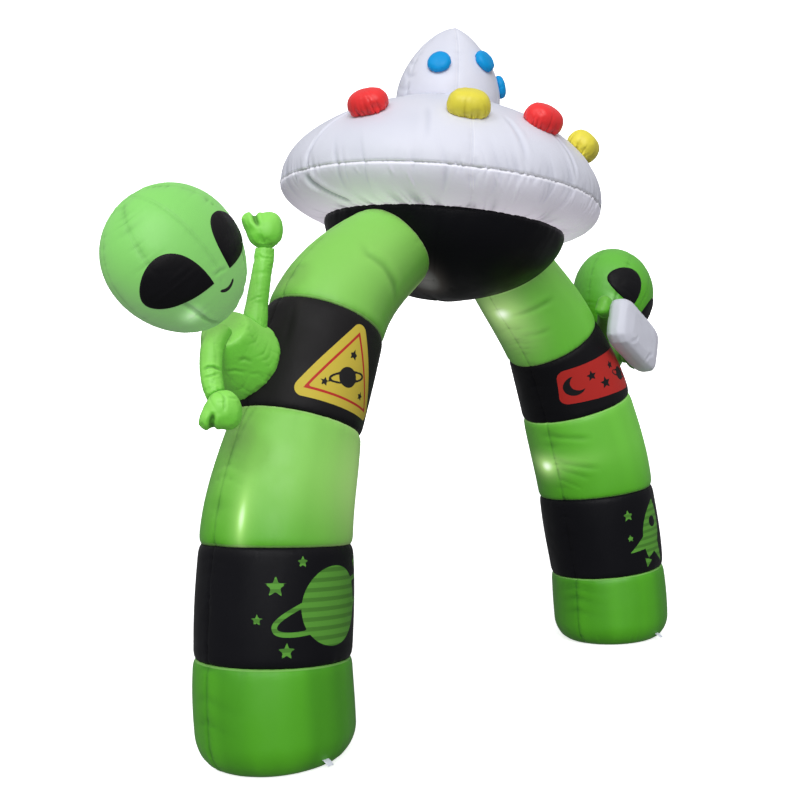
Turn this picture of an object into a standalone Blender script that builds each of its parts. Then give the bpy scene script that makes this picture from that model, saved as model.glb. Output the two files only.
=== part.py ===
"""Inflatable arch: two round nylon legs lean in to a saucer, with a small green figure on each leg.

Metres, +Z up. The arch's front faces -Y. The sizes below are written from the point on the ground
midway between the feet; move_to_origin then puts the origin under the middle of the whole arch.
Every inflated piece is one filled solid with its seams drawn in.
"""
import math

import bmesh
import bpy
import numpy as np
from mathutils import Matrix, Vector

# ------------------------------------------------------------------ driving sizes
GAP = 0.0003             # kept between neighbours that are sewn together
HALF_GAP = GAP / 2
SEAM_DRAW = 0.006        # how far a seam draws the cloth in
SEAM_ZONE = 0.035        # length of a panel that a seam draws in
LEG_CROWN = 0.007        # how far a leg panel swells between its seams
LEG_SIDES = 32
TURNED_SIDES = 42
BOWL_STEPS = 7
LOWER_STEPS = 5
UPPER_STEPS = 9
DOME_STEPS = 8
HEAD_SIDES = 28
HEAD_STEPS = 16
EYE_SIDES = 18
TORSO_SIDES = 20
ARM_SIDES = 12
TUBE_STEPS = 7
HAND_SIDES = 28
LAMP_SIDES = 16
WINDOW_SIDES = 14
BOARD_SIDES = 28

# Seams of each leg, from the ground up. x is the distance from the middle of the arch.
# The two legs swell and lean a little differently, as they stand in the photo.
LEG_SEAMS = {
    "left": (
        # x      z     lean_deg  radius, at the ground and at each seam up to the bowl
        (1.141, 0.000,    0.0,   0.294),
        (1.135, 0.374,    5.4,   0.296),
        (1.090, 0.790,    5.4,   0.290),
        (0.954, 1.240,   19.0,   0.253),
        (0.780, 1.633,   26.2,   0.244),
        (0.343, 1.998,   62.0,   0.192),
    ),
    "right": (
        (1.141, 0.000,    0.0,   0.293),
        (1.135, 0.373,    4.3,   0.295),
        (1.073, 0.795,    5.8,   0.298),
        (0.943, 1.255,   18.0,   0.284),
        (0.766, 1.594,   34.8,   0.243),
        (0.395, 1.971,   46.0,   0.201),
    ),
}
LEG_PANELS = (
    # node name      colour    rings
    ("foot",        "green",     8),
    ("lower_band",  "black",     6),
    ("middle",      "green",     6),
    ("upper_band",  "black",     6),
    ("top",         "green",     8),
)
FOOT_ROUND_OUT = 0.085   # how far the foot's bottom edge is rounded inwards
FOOT_ROUND_UP = 0.115    # and upwards

# The saucer turns about its own axis, which leans a little to the right and to the front.
SAUCER_CENTRE = (0.021, 0.076, 2.117)
SAUCER_AXIS = (0.084, -0.117, 1.0)
BOWL_RADIUS = 0.562
BOWL_DEPTH = 0.335
BOWL_ROUNDNESS = 1.86
BOWL_SHIFT = (0.021, -0.021)    # the bowl hangs this far to the right and to the front of the rim
RIM_RADIUS = 0.746
RIM_HEIGHT = 0.128
DOME_RADIUS = 0.241
DOME_BASE = 0.554
DOME_TOP = 0.941
LOWER_CURVE = ((0.620, 0.000), (0.737, 0.059))      # handles, radius and height
UPPER_CURVE = ((0.776, 0.355), (0.395, 0.523))
DOME_CURVE = ((0.271, 0.737), (0.075, DOME_TOP))
GORES = 6
GORE_TURN = -38.0        # azimuth of one gore seam, degrees from the front towards +X
GORE_DRAW = 0.012        # share of the radius lost at a gore seam

LAMP_RADIUS_AT = 0.600   # lamps sit on the upper half at this distance from the axis
LAMP_HALF_LENGTH = 0.089
LAMP_HALF_WIDTH = 0.069
LAMP_RISE = 0.086
LAMP_SINK = 0.030        # below the cloth before the cloth is cut away
LAMPS = (
    # colour    azimuth_deg  outward_shift
    ("red",       -79.0,      0.005),
    ("yellow",    -39.0,      0.003),
    ("red",        -5.0,     -0.005),
    ("yellow",     24.0,      0.033),
    ("red",        66.0,      0.000),
    ("yellow",    110.0,      0.000),
    ("red",       154.0,      0.000),
    ("yellow",    198.0,      0.000),
)
WINDOW_RADIUS = 0.056
WINDOW_RISE = 0.034
WINDOW_SINK = 0.016
WINDOWS = (
    # azimuth_deg  height
    (-60.0,        0.705),
    (-1.0,         0.745),
    (44.0,         0.685),
    (92.0,         0.700),
    (137.0,        0.700),
    (182.0,        0.700),
)

# One head shape serves both figures: an egg, wider at the crown than at the chin.
HEAD_LENGTH = 0.534
HEAD_WIDTH = 0.505
HEAD_DEPTH = 0.414
HEAD_EGG = 0.088
EYE_THICK = 0.0025
EYE_SINK = 0.0015        # below the face before the head is cut away, so an eye seats all over
EYE_TIP = (0.042, -0.108)        # eye outline on the face: across, up
EYE_TOP = (0.205, 0.046)
EYE_HALF_WIDTH = 0.084

FIGURES = {
    # centre, lean outwards, turn and nod of the head in degrees, share of the eye's full length
    "left": dict(side=-1, head=(-1.500, -0.062, 1.835), lean=41.2, turn=4.3, nod=-5.0,
                 eyes=(1.03, 0.90)),
    "right": dict(side=1, head=(1.337, -0.015, 1.843), lean=35.5, turn=-4.8, nod=1.9,
                  eyes=(0.94, 0.92)),
}
# Distances in the tables below are written for the right-hand side: x is outwards from the middle.
TORSO = (
    # x      y      z     radius
    (0.980, 0.060, 1.400, 0.140),
    (1.080, 0.050, 1.452, 0.150),
    (1.170, 0.028, 1.500, 0.145),
    (1.245, -0.005, 1.548, 0.120),
    (1.305, -0.045, 1.600, 0.085),
)
ARMS = {
    "left_raised": (
        (1.165, -0.020, 1.560, 0.060),
        (1.145, -0.030, 1.680, 0.043),
        (1.130, -0.045, 1.780, 0.040),
        (1.114, -0.058, 1.880, 0.038),
        (1.106, -0.062, 1.955, 0.037),
    ),
    "left_hanging": (
        (1.330, -0.060, 1.600, 0.046),
        (1.378, -0.070, 1.530, 0.044),
        (1.402, -0.088, 1.460, 0.041),
        (1.414, -0.108, 1.400, 0.039),
        (1.415, -0.130, 1.345, 0.036),
    ),
    "right_near": (
        (1.160, -0.030, 1.590, 0.056),
        (1.110, -0.100, 1.650, 0.050),
        (1.020, -0.170, 1.700, 0.044),
        (0.945, -0.215, 1.725, 0.040),
    ),
    "right_far": (
        (1.260, -0.010, 1.560, 0.052),
        (1.270, -0.070, 1.530, 0.046),
        (1.245, -0.120, 1.510, 0.041),
        (1.215, -0.160, 1.500, 0.038),
    ),
}
HANDS = {
    # centre, the way the fingers point, the way the back faces, thumb side and size
    "left_raised": dict(
        at=(-1.112, -0.067, 1.964), fingers=(0.15, -0.05, 1.0), back=(-0.8, -1.0, 0.0),
        thumb=1, size=0.082),
    "left_hanging": dict(
        at=(-1.408, -0.152, 1.312), fingers=(0.05, -0.10, -1.0), back=(-0.8, -1.0, 0.0),
        thumb=-1, size=0.080),
    "right_near": dict(
        at=(0.895, -0.250, 1.738), fingers=(-0.70, -0.20, 0.60), back=(0.0, -1.0, 0.0),
        thumb=1, size=0.062),
    "right_far": dict(
        at=(1.200, -0.195, 1.497), fingers=(0.70, -0.20, -0.20), back=(0.0, -1.0, 0.0),
        thumb=-1, size=0.056),
}
BOARD_CENTRE = (1.037, -0.316, 1.588)
BOARD_WIDTH = 0.474
BOARD_HEIGHT = 0.252
BOARD_THICK = 0.135
BOARD_ROLL = 23.0        # turned clockwise as seen from the front, degrees
BOARD_YAW = 9.0

TAB_WIDTH = 0.028
TAB_THICK = 0.003
TAB_HEIGHT_AT = 0.040
TAB_CURVE = (
    # out from the foot  drop
    (-0.020,             -0.004),
    (0.002,              0.000),
    (0.017,              0.006),
    (0.032,              0.018),
)

# The origin is under the middle of the whole arch's box, heads and dome included.
MIDDLE_OF_FEET = (0.082, -0.059, 0.0)

COLOURS = {
    # name: red, green, blue, roughness
    "green": (0.18, 0.62, 0.03, 0.45),
    "black": (0.012, 0.012, 0.016, 0.50),
    "white": (0.80, 0.80, 0.86, 0.50),
    "red": (0.65, 0.02, 0.02, 0.45),
    "yellow": (0.80, 0.68, 0.03, 0.45),
    "blue": (0.00, 0.22, 0.75, 0.45),
}


# ------------------------------------------------------------------ common tools
def clear_scene():
    for old in list(bpy.data.objects):
        bpy.data.objects.remove(old, do_unlink=True)


def material(colour):
    found = bpy.data.materials.get(colour)
    if found:
        return found
    red, green, blue, rough = COLOURS[colour]
    made = bpy.data.materials.new(colour)
    made.use_nodes = True
    shader = made.node_tree.nodes["Principled BSDF"]
    shader.inputs["Base Color"].default_value = (red, green, blue, 1.0)
    shader.inputs["Roughness"].default_value = rough
    shader.inputs["Metallic"].default_value = 0.0
    return made


def add_solid(name, rings, colour, parent=None, pole_start=None, pole_end=None):
    """Join a list of rings of points into one closed body. A pole closes an end with a point."""
    mesh = bpy.data.meshes.new(name)
    shape = bmesh.new()
    loops = [[shape.verts.new(point) for point in ring] for ring in rings]
    sides = len(loops[0])
    for low, high in zip(loops, loops[1:]):
        for k in range(sides):
            n = (k + 1) % sides
            shape.faces.new((low[k], low[n], high[n]))
            shape.faces.new((low[k], high[n], high[k]))
    for loop, pole in ((loops[0], pole_start), (loops[-1], pole_end)):
        if pole is None:
            shape.faces.new(loop)
            continue
        tip = shape.verts.new(pole)
        for k in range(sides):
            shape.faces.new((loop[k], loop[(k + 1) % sides], tip))
    bmesh.ops.recalc_face_normals(shape, faces=shape.faces[:])
    shape.to_mesh(mesh)
    shape.free()
    mesh.shade_smooth()
    mesh.set_sharp_from_angle(angle=math.radians(50))
    made = bpy.data.objects.new(name, mesh)
    bpy.context.collection.objects.link(made)
    mesh.materials.append(material(colour))
    made.parent = parent
    return made


def as_cutter(shape):
    shape.hide_render = True
    shape.display_type = 'WIRE'
    return shape


def trim(piece, *cutters):
    for cutter in cutters:
        cut = piece.modifiers.new("trim_" + cutter.name, 'BOOLEAN')
        cut.operation = 'DIFFERENCE'
        cut.object = cutter


def smooth_path(rows, steps):
    """Points and radii on a smooth curve through rows of x, y, z, radius."""
    rows = np.array(rows, float)
    ends = np.vstack([2 * rows[0] - rows[1], rows, 2 * rows[-1] - rows[-2]])
    spans = len(rows) - 1
    out = []
    for step in range(steps + 1):
        place = step / steps * spans
        k = min(int(place), spans - 1)
        t = place - k
        a, b, c, d = ends[k:k + 4]
        out.append(0.5 * (2 * b + (c - a) * t + (2 * a - 5 * b + 4 * c - d) * t ** 2
                          + (3 * b - a - 3 * c + d) * t ** 3))
    return np.array(out)


def tube_rings(rows, sides, grow=0.0):
    """Rings round a smooth path, each square to it."""
    path = smooth_path(rows, TUBE_STEPS)
    centres = path[:, :3]
    along = np.gradient(centres, axis=0)
    centres[0] -= grow * along[0] / np.linalg.norm(along[0])
    centres[-1] += grow * along[-1] / np.linalg.norm(along[-1])
    rings = []
    side = Vector((0.0, 1.0, 0.0))
    for centre, way, radius in zip(centres, along, path[:, 3].tolist()):
        way = Vector(way).normalized()
        side = (side - way * side.dot(way)).normalized()
        other = way.cross(side)
        rings.append([Vector(centre) + (radius + grow) * (math.cos(a) * side + math.sin(a) * other)
                      for a in (2 * math.pi * k / sides for k in range(sides))])
    return rings


# ------------------------------------------------------------------ legs
def leg_ring(side, x, z, lean, radius):
    lean = math.radians(lean)
    centre = Vector((side * x, 0.0, z))
    outward = Vector((side * math.cos(lean), 0.0, math.sin(lean)))
    depth = Vector((0.0, 1.0, 0.0))
    return [centre + radius * (math.cos(a) * outward + math.sin(a) * depth)
            for a in (2 * math.pi * k / LEG_SIDES for k in range(LEG_SIDES))]


def panel_rings(side, start, end, count, grow=0.0, rounded=False):
    """Rings of one leg panel between two seams: a cubic centre line with a crowned radius."""
    x0, z0, lean0, radius0 = start
    x1, z1, lean1, radius1 = end
    length = math.hypot(x1 - x0, z1 - z0)
    pull0 = np.array((-math.sin(math.radians(lean0)), math.cos(math.radians(lean0)))) * length
    pull1 = np.array((-math.sin(math.radians(lean1)), math.cos(math.radians(lean1)))) * length
    edge = HALF_GAP / length
    zone = SEAM_ZONE / length
    places = [edge, zone * 0.4, *np.linspace(zone, 1 - zone, count - 4), 1 - zone * 0.4, 1 - edge]
    if rounded:
        bottom = [FOOT_ROUND_UP * (1 - math.cos(a)) / length for a in np.linspace(0, math.pi / 2, 5)]
        places = bottom + [p for p in places if p > bottom[-1] + zone]
    rings = []
    for t in places:
        h00, h10 = 2 * t ** 3 - 3 * t ** 2 + 1, t ** 3 - 2 * t ** 2 + t
        h01, h11 = 3 * t ** 2 - 2 * t ** 3, t ** 3 - t ** 2
        x, z = h00 * np.array((x0, z0)) + h10 * pull0 + h01 * np.array((x1, z1)) + h11 * pull1
        from_seam = (1 - t) * length if rounded else min(t, 1 - t) * length
        drawn = SEAM_DRAW * max(0.0, 1 - from_seam / SEAM_ZONE) ** 2
        radius = radius0 + (radius1 - radius0) * t + LEG_CROWN * 4 * t * (1 - t) - drawn
        if rounded and t * length < FOOT_ROUND_UP:
            up = 1 - t * length / FOOT_ROUND_UP
            radius -= FOOT_ROUND_OUT * (1 - math.sqrt(max(0.0, 1 - up * up)))
        rings.append(leg_ring(side, x, z, lean0 + (lean1 - lean0) * t, float(radius + grow)))
    return rings


def build_leg(name, side, saucer_cutter):
    """The five panels of one leg. Returns cutters, grown by the gap, of the foot and of the rest."""
    seams = LEG_SEAMS[name]
    upper_rings = []
    for k, (panel, colour, count) in enumerate(LEG_PANELS):
        is_foot = panel == "foot"
        solid = add_solid(f"leg_{name}_{panel}",
                          panel_rings(side, seams[k], seams[k + 1], count, rounded=is_foot), colour)
        grown = panel_rings(side, seams[k], seams[k + 1], count, GAP, is_foot)
        if is_foot:
            foot_cutter = as_cutter(add_solid(f"cutter_foot_{name}", grown, colour))
        else:
            upper_rings += grown
    trim(solid, saucer_cutter)
    return foot_cutter, as_cutter(add_solid(f"cutter_leg_{name}", upper_rings, "green"))


def build_tab(name, side, foot_cutter):
    """A pressed-flat loop of webbing sewn to the front of the foot, just above the ground."""
    x, _, _, radius = LEG_SEAMS[name][0]
    up = 1 - TAB_HEIGHT_AT / FOOT_ROUND_UP
    radius -= FOOT_ROUND_OUT * (1 - math.sqrt(1 - up * up))
    low, high = side * x - TAB_WIDTH / 2, side * x + TAB_WIDTH / 2
    rings = []
    for out, drop in TAB_CURVE:
        y, z = -radius - out, TAB_HEIGHT_AT - drop
        rings.append([(low, y, z), (high, y, z), (high, y, z + TAB_THICK), (low, y, z + TAB_THICK)])
    trim(add_solid(f"foot_tab_{name}", rings, "white"), foot_cutter)


# ------------------------------------------------------------------ saucer
def curve(start, handles, end, steps):
    a, (b, c), d = np.array(start), np.array(handles), np.array(end)
    return [tuple((1 - t) ** 3 * a + 3 * (1 - t) ** 2 * t * b + 3 * (1 - t) * t * t * c + t ** 3 * d)
            for t in np.linspace(0, 1, steps + 1)]


def bowl_curve(steps):
    power = 2 / BOWL_ROUNDNESS
    return [(BOWL_RADIUS * math.sin(a) ** power, -BOWL_DEPTH * math.cos(a) ** power)
            for a in np.linspace(0, math.pi / 2, steps + 1)]


def lower_curve(steps):
    return curve((BOWL_RADIUS, 0.0), LOWER_CURVE, (RIM_RADIUS, RIM_HEIGHT), steps)


def upper_curve(steps):
    return curve((RIM_RADIUS, RIM_HEIGHT), UPPER_CURVE, (DOME_RADIUS, DOME_BASE), steps)


def dome_curve(steps):
    return curve((DOME_RADIUS, DOME_BASE), DOME_CURVE, (0.0, DOME_TOP), steps)


def sway(height):
    """How far the middle of the saucer is off its axis: not at all at the rim, the full shift in the bowl."""
    share = min(max(1 - height / RIM_HEIGHT, 0.0), 1.0)
    share = share * share * (3 - 2 * share)
    return BOWL_SHIFT[0] * share, BOWL_SHIFT[1] * share


def turned_rings(profile, grow=0.0, lobes=True):
    """Turn a profile of radius and height, drawn in at the gore seams."""
    rings = []
    for radius, height in profile:
        ring = []
        off_x, off_y = sway(height)
        for k in range(TURNED_SIDES):
            azimuth = math.radians(GORE_TURN) + 2 * math.pi * k / TURNED_SIDES
            swell = abs(math.sin(GORES * (azimuth - math.radians(GORE_TURN)) / 2)) ** 0.6
            r = radius * (1 - GORE_DRAW * (1 - swell) * lobes) + grow
            ring.append((off_x + r * math.sin(azimuth), off_y - r * math.cos(azimuth), height))
        rings.append(ring)
    return rings


def lifted(profile, start=0.0, end=0.0):
    """Move the two ends of a profile along the axis, to leave the gap at a seam."""
    profile = list(profile)
    profile[0] = (profile[0][0], profile[0][1] + start)
    profile[-1] = (profile[-1][0], profile[-1][1] + end)
    return profile


def on_profile(profile, at, axis):
    """Point and outward normal where a profile reaches a radius (axis 0) or a height (axis 1)."""
    rows = np.array(profile)
    k = int(np.argmin(np.abs(rows[:, axis] - at)))
    k = min(max(k, 1), len(rows) - 2)
    tangent = rows[k + 1] - rows[k - 1]
    normal = np.array((tangent[1], -tangent[0])) / np.hypot(*tangent)
    return rows[k], normal


def puff_rings(half_a, half_b, rise, sink, sides, power):
    """A puffed patch on its own ground plane: a flat foot, a full side and a low crown."""
    rings = []
    for share, height in ((0.93, -sink), (0.97, 0.0), (1.0, rise * 0.22), (0.93, rise * 0.60),
                          (0.72, rise * 0.86), (0.38, rise * 0.97)):
        ring = []
        for k in range(sides):
            a = 2 * math.pi * k / sides
            c, s = math.cos(a), math.sin(a)
            ring.append((share * half_a * math.copysign(abs(c) ** power, c),
                         share * half_b * math.copysign(abs(s) ** power, s), height))
        rings.append(ring)
    return rings


def stand_on(piece, pivot, point, normal, azimuth):
    """Put a patch on the saucer: its own Z along the surface normal, its own X round the saucer."""
    azimuth = math.radians(azimuth)
    outward = Vector((math.sin(azimuth), -math.cos(azimuth), 0.0))
    axis_z = (outward * normal[0] + Vector((0, 0, 1)) * normal[1]).normalized()
    axis_x = Vector((math.cos(azimuth), math.sin(azimuth), 0.0))
    axis_y = axis_z.cross(axis_x)
    turn = Matrix((axis_x, axis_y, axis_z)).transposed()
    piece.parent = pivot
    piece.location = outward * point[0] + Vector((0, 0, point[1]))
    piece.rotation_euler = turn.to_euler()


def build_saucer():
    pivot = bpy.data.objects.new("saucer_pivot", None)
    bpy.context.collection.objects.link(pivot)
    axis = Vector(SAUCER_AXIS).normalized()
    right = (Vector((1, 0, 0)) - axis * axis.x).normalized()
    pivot.location = SAUCER_CENTRE
    pivot.rotation_euler = Matrix((right, axis.cross(right), axis)).transposed().to_euler()

    bowl = lifted(bowl_curve(BOWL_STEPS)[1:], end=-HALF_GAP)
    add_solid("saucer_bowl", turned_rings(bowl, lobes=False), "black", pivot,
              pole_start=(*BOWL_SHIFT, -BOWL_DEPTH))
    lower = lifted(lower_curve(LOWER_STEPS), start=HALF_GAP, end=-HALF_GAP)
    add_solid("saucer_lower", turned_rings(lower), "white", pivot)
    upper = lifted(upper_curve(UPPER_STEPS), start=HALF_GAP, end=-HALF_GAP)
    add_solid("saucer_upper", turned_rings(upper), "white", pivot)
    dome = lifted(dome_curve(DOME_STEPS), start=HALF_GAP)[:-1]
    add_solid("saucer_dome", turned_rings(dome), "white", pivot, pole_end=(0, 0, DOME_TOP))

    under = [(r + GAP, h) for r, h in bowl_curve(BOWL_STEPS)[1:] + lower_curve(LOWER_STEPS)[1:]]
    under_cutter = as_cutter(add_solid("cutter_under", turned_rings(under, lobes=False), "white", pivot,
                                       pole_start=(*BOWL_SHIFT, -BOWL_DEPTH - GAP)))
    top = lifted(upper_curve(UPPER_STEPS), end=0.02)
    top_cutter = as_cutter(add_solid("cutter_top", turned_rings(top, GAP), "white", pivot))
    above = lifted(dome_curve(DOME_STEPS), start=-0.02)[:-1]
    dome_cutter = as_cutter(add_solid("cutter_dome", turned_rings(above, GAP), "white", pivot,
                                      pole_end=(0, 0, DOME_TOP + GAP)))

    fine = upper_curve(60)
    for k, (colour, azimuth, shift) in enumerate(LAMPS, 1):
        point, normal = on_profile(fine, LAMP_RADIUS_AT + shift, 0)
        rings = puff_rings(LAMP_HALF_LENGTH, LAMP_HALF_WIDTH, LAMP_RISE, LAMP_SINK, LAMP_SIDES, 0.80)
        lamp = add_solid(f"lamp_{k}_{colour}", rings, colour, pole_end=(0, 0, LAMP_RISE))
        stand_on(lamp, pivot, point, normal, azimuth)
        trim(lamp, top_cutter)
    fine = dome_curve(60)
    for k, (azimuth, height) in enumerate(WINDOWS, 1):
        point, normal = on_profile(fine, height, 1)
        rings = puff_rings(WINDOW_RADIUS, WINDOW_RADIUS, WINDOW_RISE, WINDOW_SINK, WINDOW_SIDES, 1.0)
        window = add_solid(f"window_{k}", rings, "blue", pole_end=(0, 0, WINDOW_RISE))
        stand_on(window, pivot, point, normal, azimuth)
        trim(window, dome_cutter)
    return under_cutter


# ------------------------------------------------------------------ figures
def head_size(angle):
    """Height, half width and half depth of the head at an angle from the crown."""
    egg = 1 + HEAD_EGG * math.cos(angle)
    return (HEAD_LENGTH / 2 * math.cos(angle), HEAD_WIDTH / 2 * math.sin(angle) * egg,
            HEAD_DEPTH / 2 * math.sin(angle) * egg)


def head_frame(side, lean, turn, nod):
    """World matrix of a head: X across the face, Y to its front, Z to its crown."""
    lean, turn, nod = (math.radians(v) for v in (lean, turn, nod))
    up = Vector((side * math.sin(lean), 0.0, math.cos(lean)))
    front = Vector((0.0, -1.0, 0.0))
    across = front.cross(up)
    front, across = (math.cos(turn) * front + math.sin(turn) * across,
                     math.cos(turn) * across - math.sin(turn) * front)
    up, front = (math.cos(nod) * up + math.sin(nod) * front, math.cos(nod) * front - math.sin(nod) * up)
    return Matrix((across, front, up)).transposed()


def head_rings(grow=0.0):
    rings = []
    for k in range(1, HEAD_STEPS):
        angle = math.pi * k / HEAD_STEPS
        height, wide, deep = head_size(angle)
        height += grow * math.cos(angle)
        rings.append([((wide + grow) * math.cos(a), (deep + grow) * math.sin(a), height)
                      for a in (2 * math.pi * j / HEAD_SIDES for j in range(HEAD_SIDES))])
    return rings


def face_point(across, up, off):
    """Point on the front of the head, moved out by off along the surface normal."""
    def front_at(x, z):
        angle = math.acos(max(-1.0, min(1.0, z / (HEAD_LENGTH / 2))))
        _, wide, deep = head_size(angle)
        return deep * math.sqrt(max(0.0, 1 - (x / wide) ** 2))
    small = 0.002
    y = front_at(across, up)
    slope_x = (front_at(across + small, up) - front_at(across - small, up)) / (2 * small)
    slope_z = (front_at(across, up + small) - front_at(across, up - small)) / (2 * small)
    normal = Vector((-slope_x, 1.0, -slope_z)).normalized()
    return Vector((across, y, up)) + normal * off


def eye_outline(mirror, share):
    """A teardrop on the face, pointed at the inner low end and a share of its full length."""
    tip = Vector(EYE_TIP)
    top = tip.lerp(Vector(EYE_TOP), share)
    middle, half = (tip + top) / 2, (top - tip) / 2
    square = Vector((half.y, -half.x)).normalized() * EYE_HALF_WIDTH / 0.77
    points = []
    for k in range(EYE_SIDES):
        a = 2 * math.pi * k / EYE_SIDES
        p = middle + half * math.cos(a) + square * math.sin(a) * abs(math.cos(a / 2))
        points.append((mirror * p.x, p.y))
    return points


def build_head(name, side, head, lean, turn, nod, eyes):
    turn_matrix = head_frame(side, lean, turn, nod)

    def put(piece):
        piece.location = head
        piece.rotation_euler = turn_matrix.to_euler()
        return piece

    half = HEAD_LENGTH / 2
    put(add_solid(f"figure_{name}_head", head_rings(), "green",
                  pole_start=(0, 0, half), pole_end=(0, 0, -half)))
    cutter = put(add_solid(f"cutter_head_{name}", head_rings(GAP), "green",
                           pole_start=(0, 0, half + GAP), pole_end=(0, 0, -half - GAP)))
    for label, mirror, share in (("outer", 1, eyes[0]), ("inner", -1, eyes[1])):
        outline = eye_outline(mirror, share)
        centre = np.mean(outline, axis=0)
        rings = []
        for off, shares in ((-EYE_SINK, (0.35, 0.68, 1.0)), (EYE_THICK, (1.0, 0.68, 0.35))):
            for share in shares:
                rings.append([face_point(centre[0] + share * (x - centre[0]),
                                         centre[1] + share * (z - centre[1]), off) for x, z in outline])
        eye = put(add_solid(f"figure_{name}_eye_{label}", rings, "black",
                            pole_start=face_point(*centre, -EYE_SINK),
                            pole_end=face_point(*centre, EYE_THICK)))
        trim(eye, cutter)
    return as_cutter(cutter)


def mirror_rows(rows, side):
    return [(side * x, y, z, radius) for x, y, z, radius in rows]


def hand_rings(size, grow=0.0):
    """A puffed mitten in its own frame: X across, Y to the fingers, Z through its thickness."""
    thick = size * 0.66
    rings = []
    for level in (-0.93, -0.62, -0.22, 0.22, 0.62, 0.93):
        spread = math.sqrt(1 - abs(level) ** 2.4)
        ring = []
        for k in range(HAND_SIDES):
            a = 2 * math.pi * k / HAND_SIDES
            fingers = 0.26 * math.exp(-((math.remainder(a - 1.20, 2 * math.pi)) / 0.70) ** 2)
            thumb = 0.50 * math.exp(-((math.remainder(a - 2.58, 2 * math.pi)) / 0.42) ** 2)
            reach = size * (0.76 + fingers + thumb) * spread + grow
            ring.append((reach * math.cos(a), reach * math.sin(a), level * (thick + grow)))
        rings.append(ring)
    return rings, thick + grow


def build_hand(name, at, fingers, back, thumb, size):
    fingers = Vector(fingers).normalized()
    back = Vector(back)
    back = (back - fingers * back.dot(fingers)).normalized()
    across = fingers.cross(back) * thumb
    turn = Matrix((across, fingers, across.cross(fingers))).transposed()
    pieces = []
    for label, grow in ((f"figure_{name}_hand", 0.0), (f"cutter_hand_{name}", GAP)):
        rings, top = hand_rings(size, grow)
        piece = add_solid(label, rings, "green", pole_start=(0, 0, -top), pole_end=(0, 0, top))
        piece.location = at
        piece.rotation_euler = turn.to_euler()
        pieces.append(piece)
    return pieces[0], as_cutter(pieces[1])


def build_figure(name, leg_cutter, side, **head):
    """Head, eyes, torso, arms and hands. Yields each arm with its hand."""
    head_cutter = build_head(name, side, **head)
    rows = mirror_rows(TORSO, side)
    torso = add_solid(f"figure_{name}_torso", tube_rings(rows, TORSO_SIDES), "green")
    torso_cutter = as_cutter(add_solid(f"cutter_torso_{name}", tube_rings(rows, TORSO_SIDES, GAP), "green"))
    trim(torso, leg_cutter, head_cutter)
    for label in [key for key in ARMS if key.startswith(name)]:
        hand, hand_cutter = build_hand(label, **HANDS[label])
        arm = add_solid(f"figure_{label}_arm", tube_rings(mirror_rows(ARMS[label], side), ARM_SIDES), "green")
        trim(arm, torso_cutter, hand_cutter, head_cutter, leg_cutter)
        trim(hand, head_cutter)
        yield arm, hand


def build_board(label, grow=0.0):
    """A puffed board: two panels over a gusset, drawn in at its corners."""
    half_width, half_height, half_thick = (v / 2 + grow for v in (BOARD_WIDTH, BOARD_HEIGHT, BOARD_THICK))
    rings = []
    for level, share in ((-0.96, 0.60), (-0.72, 0.90), (-0.30, 1.0), (0.30, 1.0), (0.72, 0.90), (0.96, 0.60)):
        ring = []
        for k in range(BOARD_SIDES):
            a = 2 * math.pi * k / BOARD_SIDES
            c, s = math.cos(a), math.sin(a)
            square = (abs(c) ** 7 + abs(s) ** 7) ** (-1 / 7)
            ring.append((share * square * c * half_width, share * square * s * half_height,
                         level * half_thick))
        rings.append(ring)
    board = add_solid(label, rings, "white", pole_start=(0, 0, -half_thick), pole_end=(0, 0, half_thick))
    roll, yaw = math.radians(BOARD_ROLL), math.radians(BOARD_YAW)
    across = Vector((math.cos(roll), 0.0, -math.sin(roll)))
    up = Vector((math.sin(roll), 0.0, math.cos(roll)))
    front = across.cross(up)
    turn = Matrix.Rotation(yaw, 3, 'Z') @ Matrix((across, up, front)).transposed()
    board.location = BOARD_CENTRE
    board.rotation_euler = turn.to_euler()
    return board


# ------------------------------------------------------------------ assembly
def move_to_origin():
    for piece in bpy.data.objects:
        if piece.parent is None:
            piece.location += Vector(MIDDLE_OF_FEET)


def main():
    clear_scene()
    saucer_cutter = build_saucer()
    board = build_board("board")
    board_cutter = as_cutter(build_board("cutter_board", GAP))
    for name, figure in FIGURES.items():
        foot_cutter, leg_cutter = build_leg(name, figure["side"], saucer_cutter)
        build_tab(name, figure["side"], foot_cutter)
        for arm, hand in build_figure(name, leg_cutter, **figure):
            if name == "right":
                trim(hand, board_cutter)
                trim(arm, board_cutter)
    trim(board, leg_cutter)
    move_to_origin()


main()
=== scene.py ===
"""Looks of the inflatable arch: sewn nylon panels with puckered seams, prints, lamps and two figures.

Metres, +Z up. As in the part, the tables are written from the point on the ground midway between the
feet, and the finished pieces are moved by MIDDLE_OF_FEET into the frame.
"""
import math

import bpy
import numpy as np
from mathutils import Matrix, Vector
from mathutils.bvhtree import BVHTree


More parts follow.
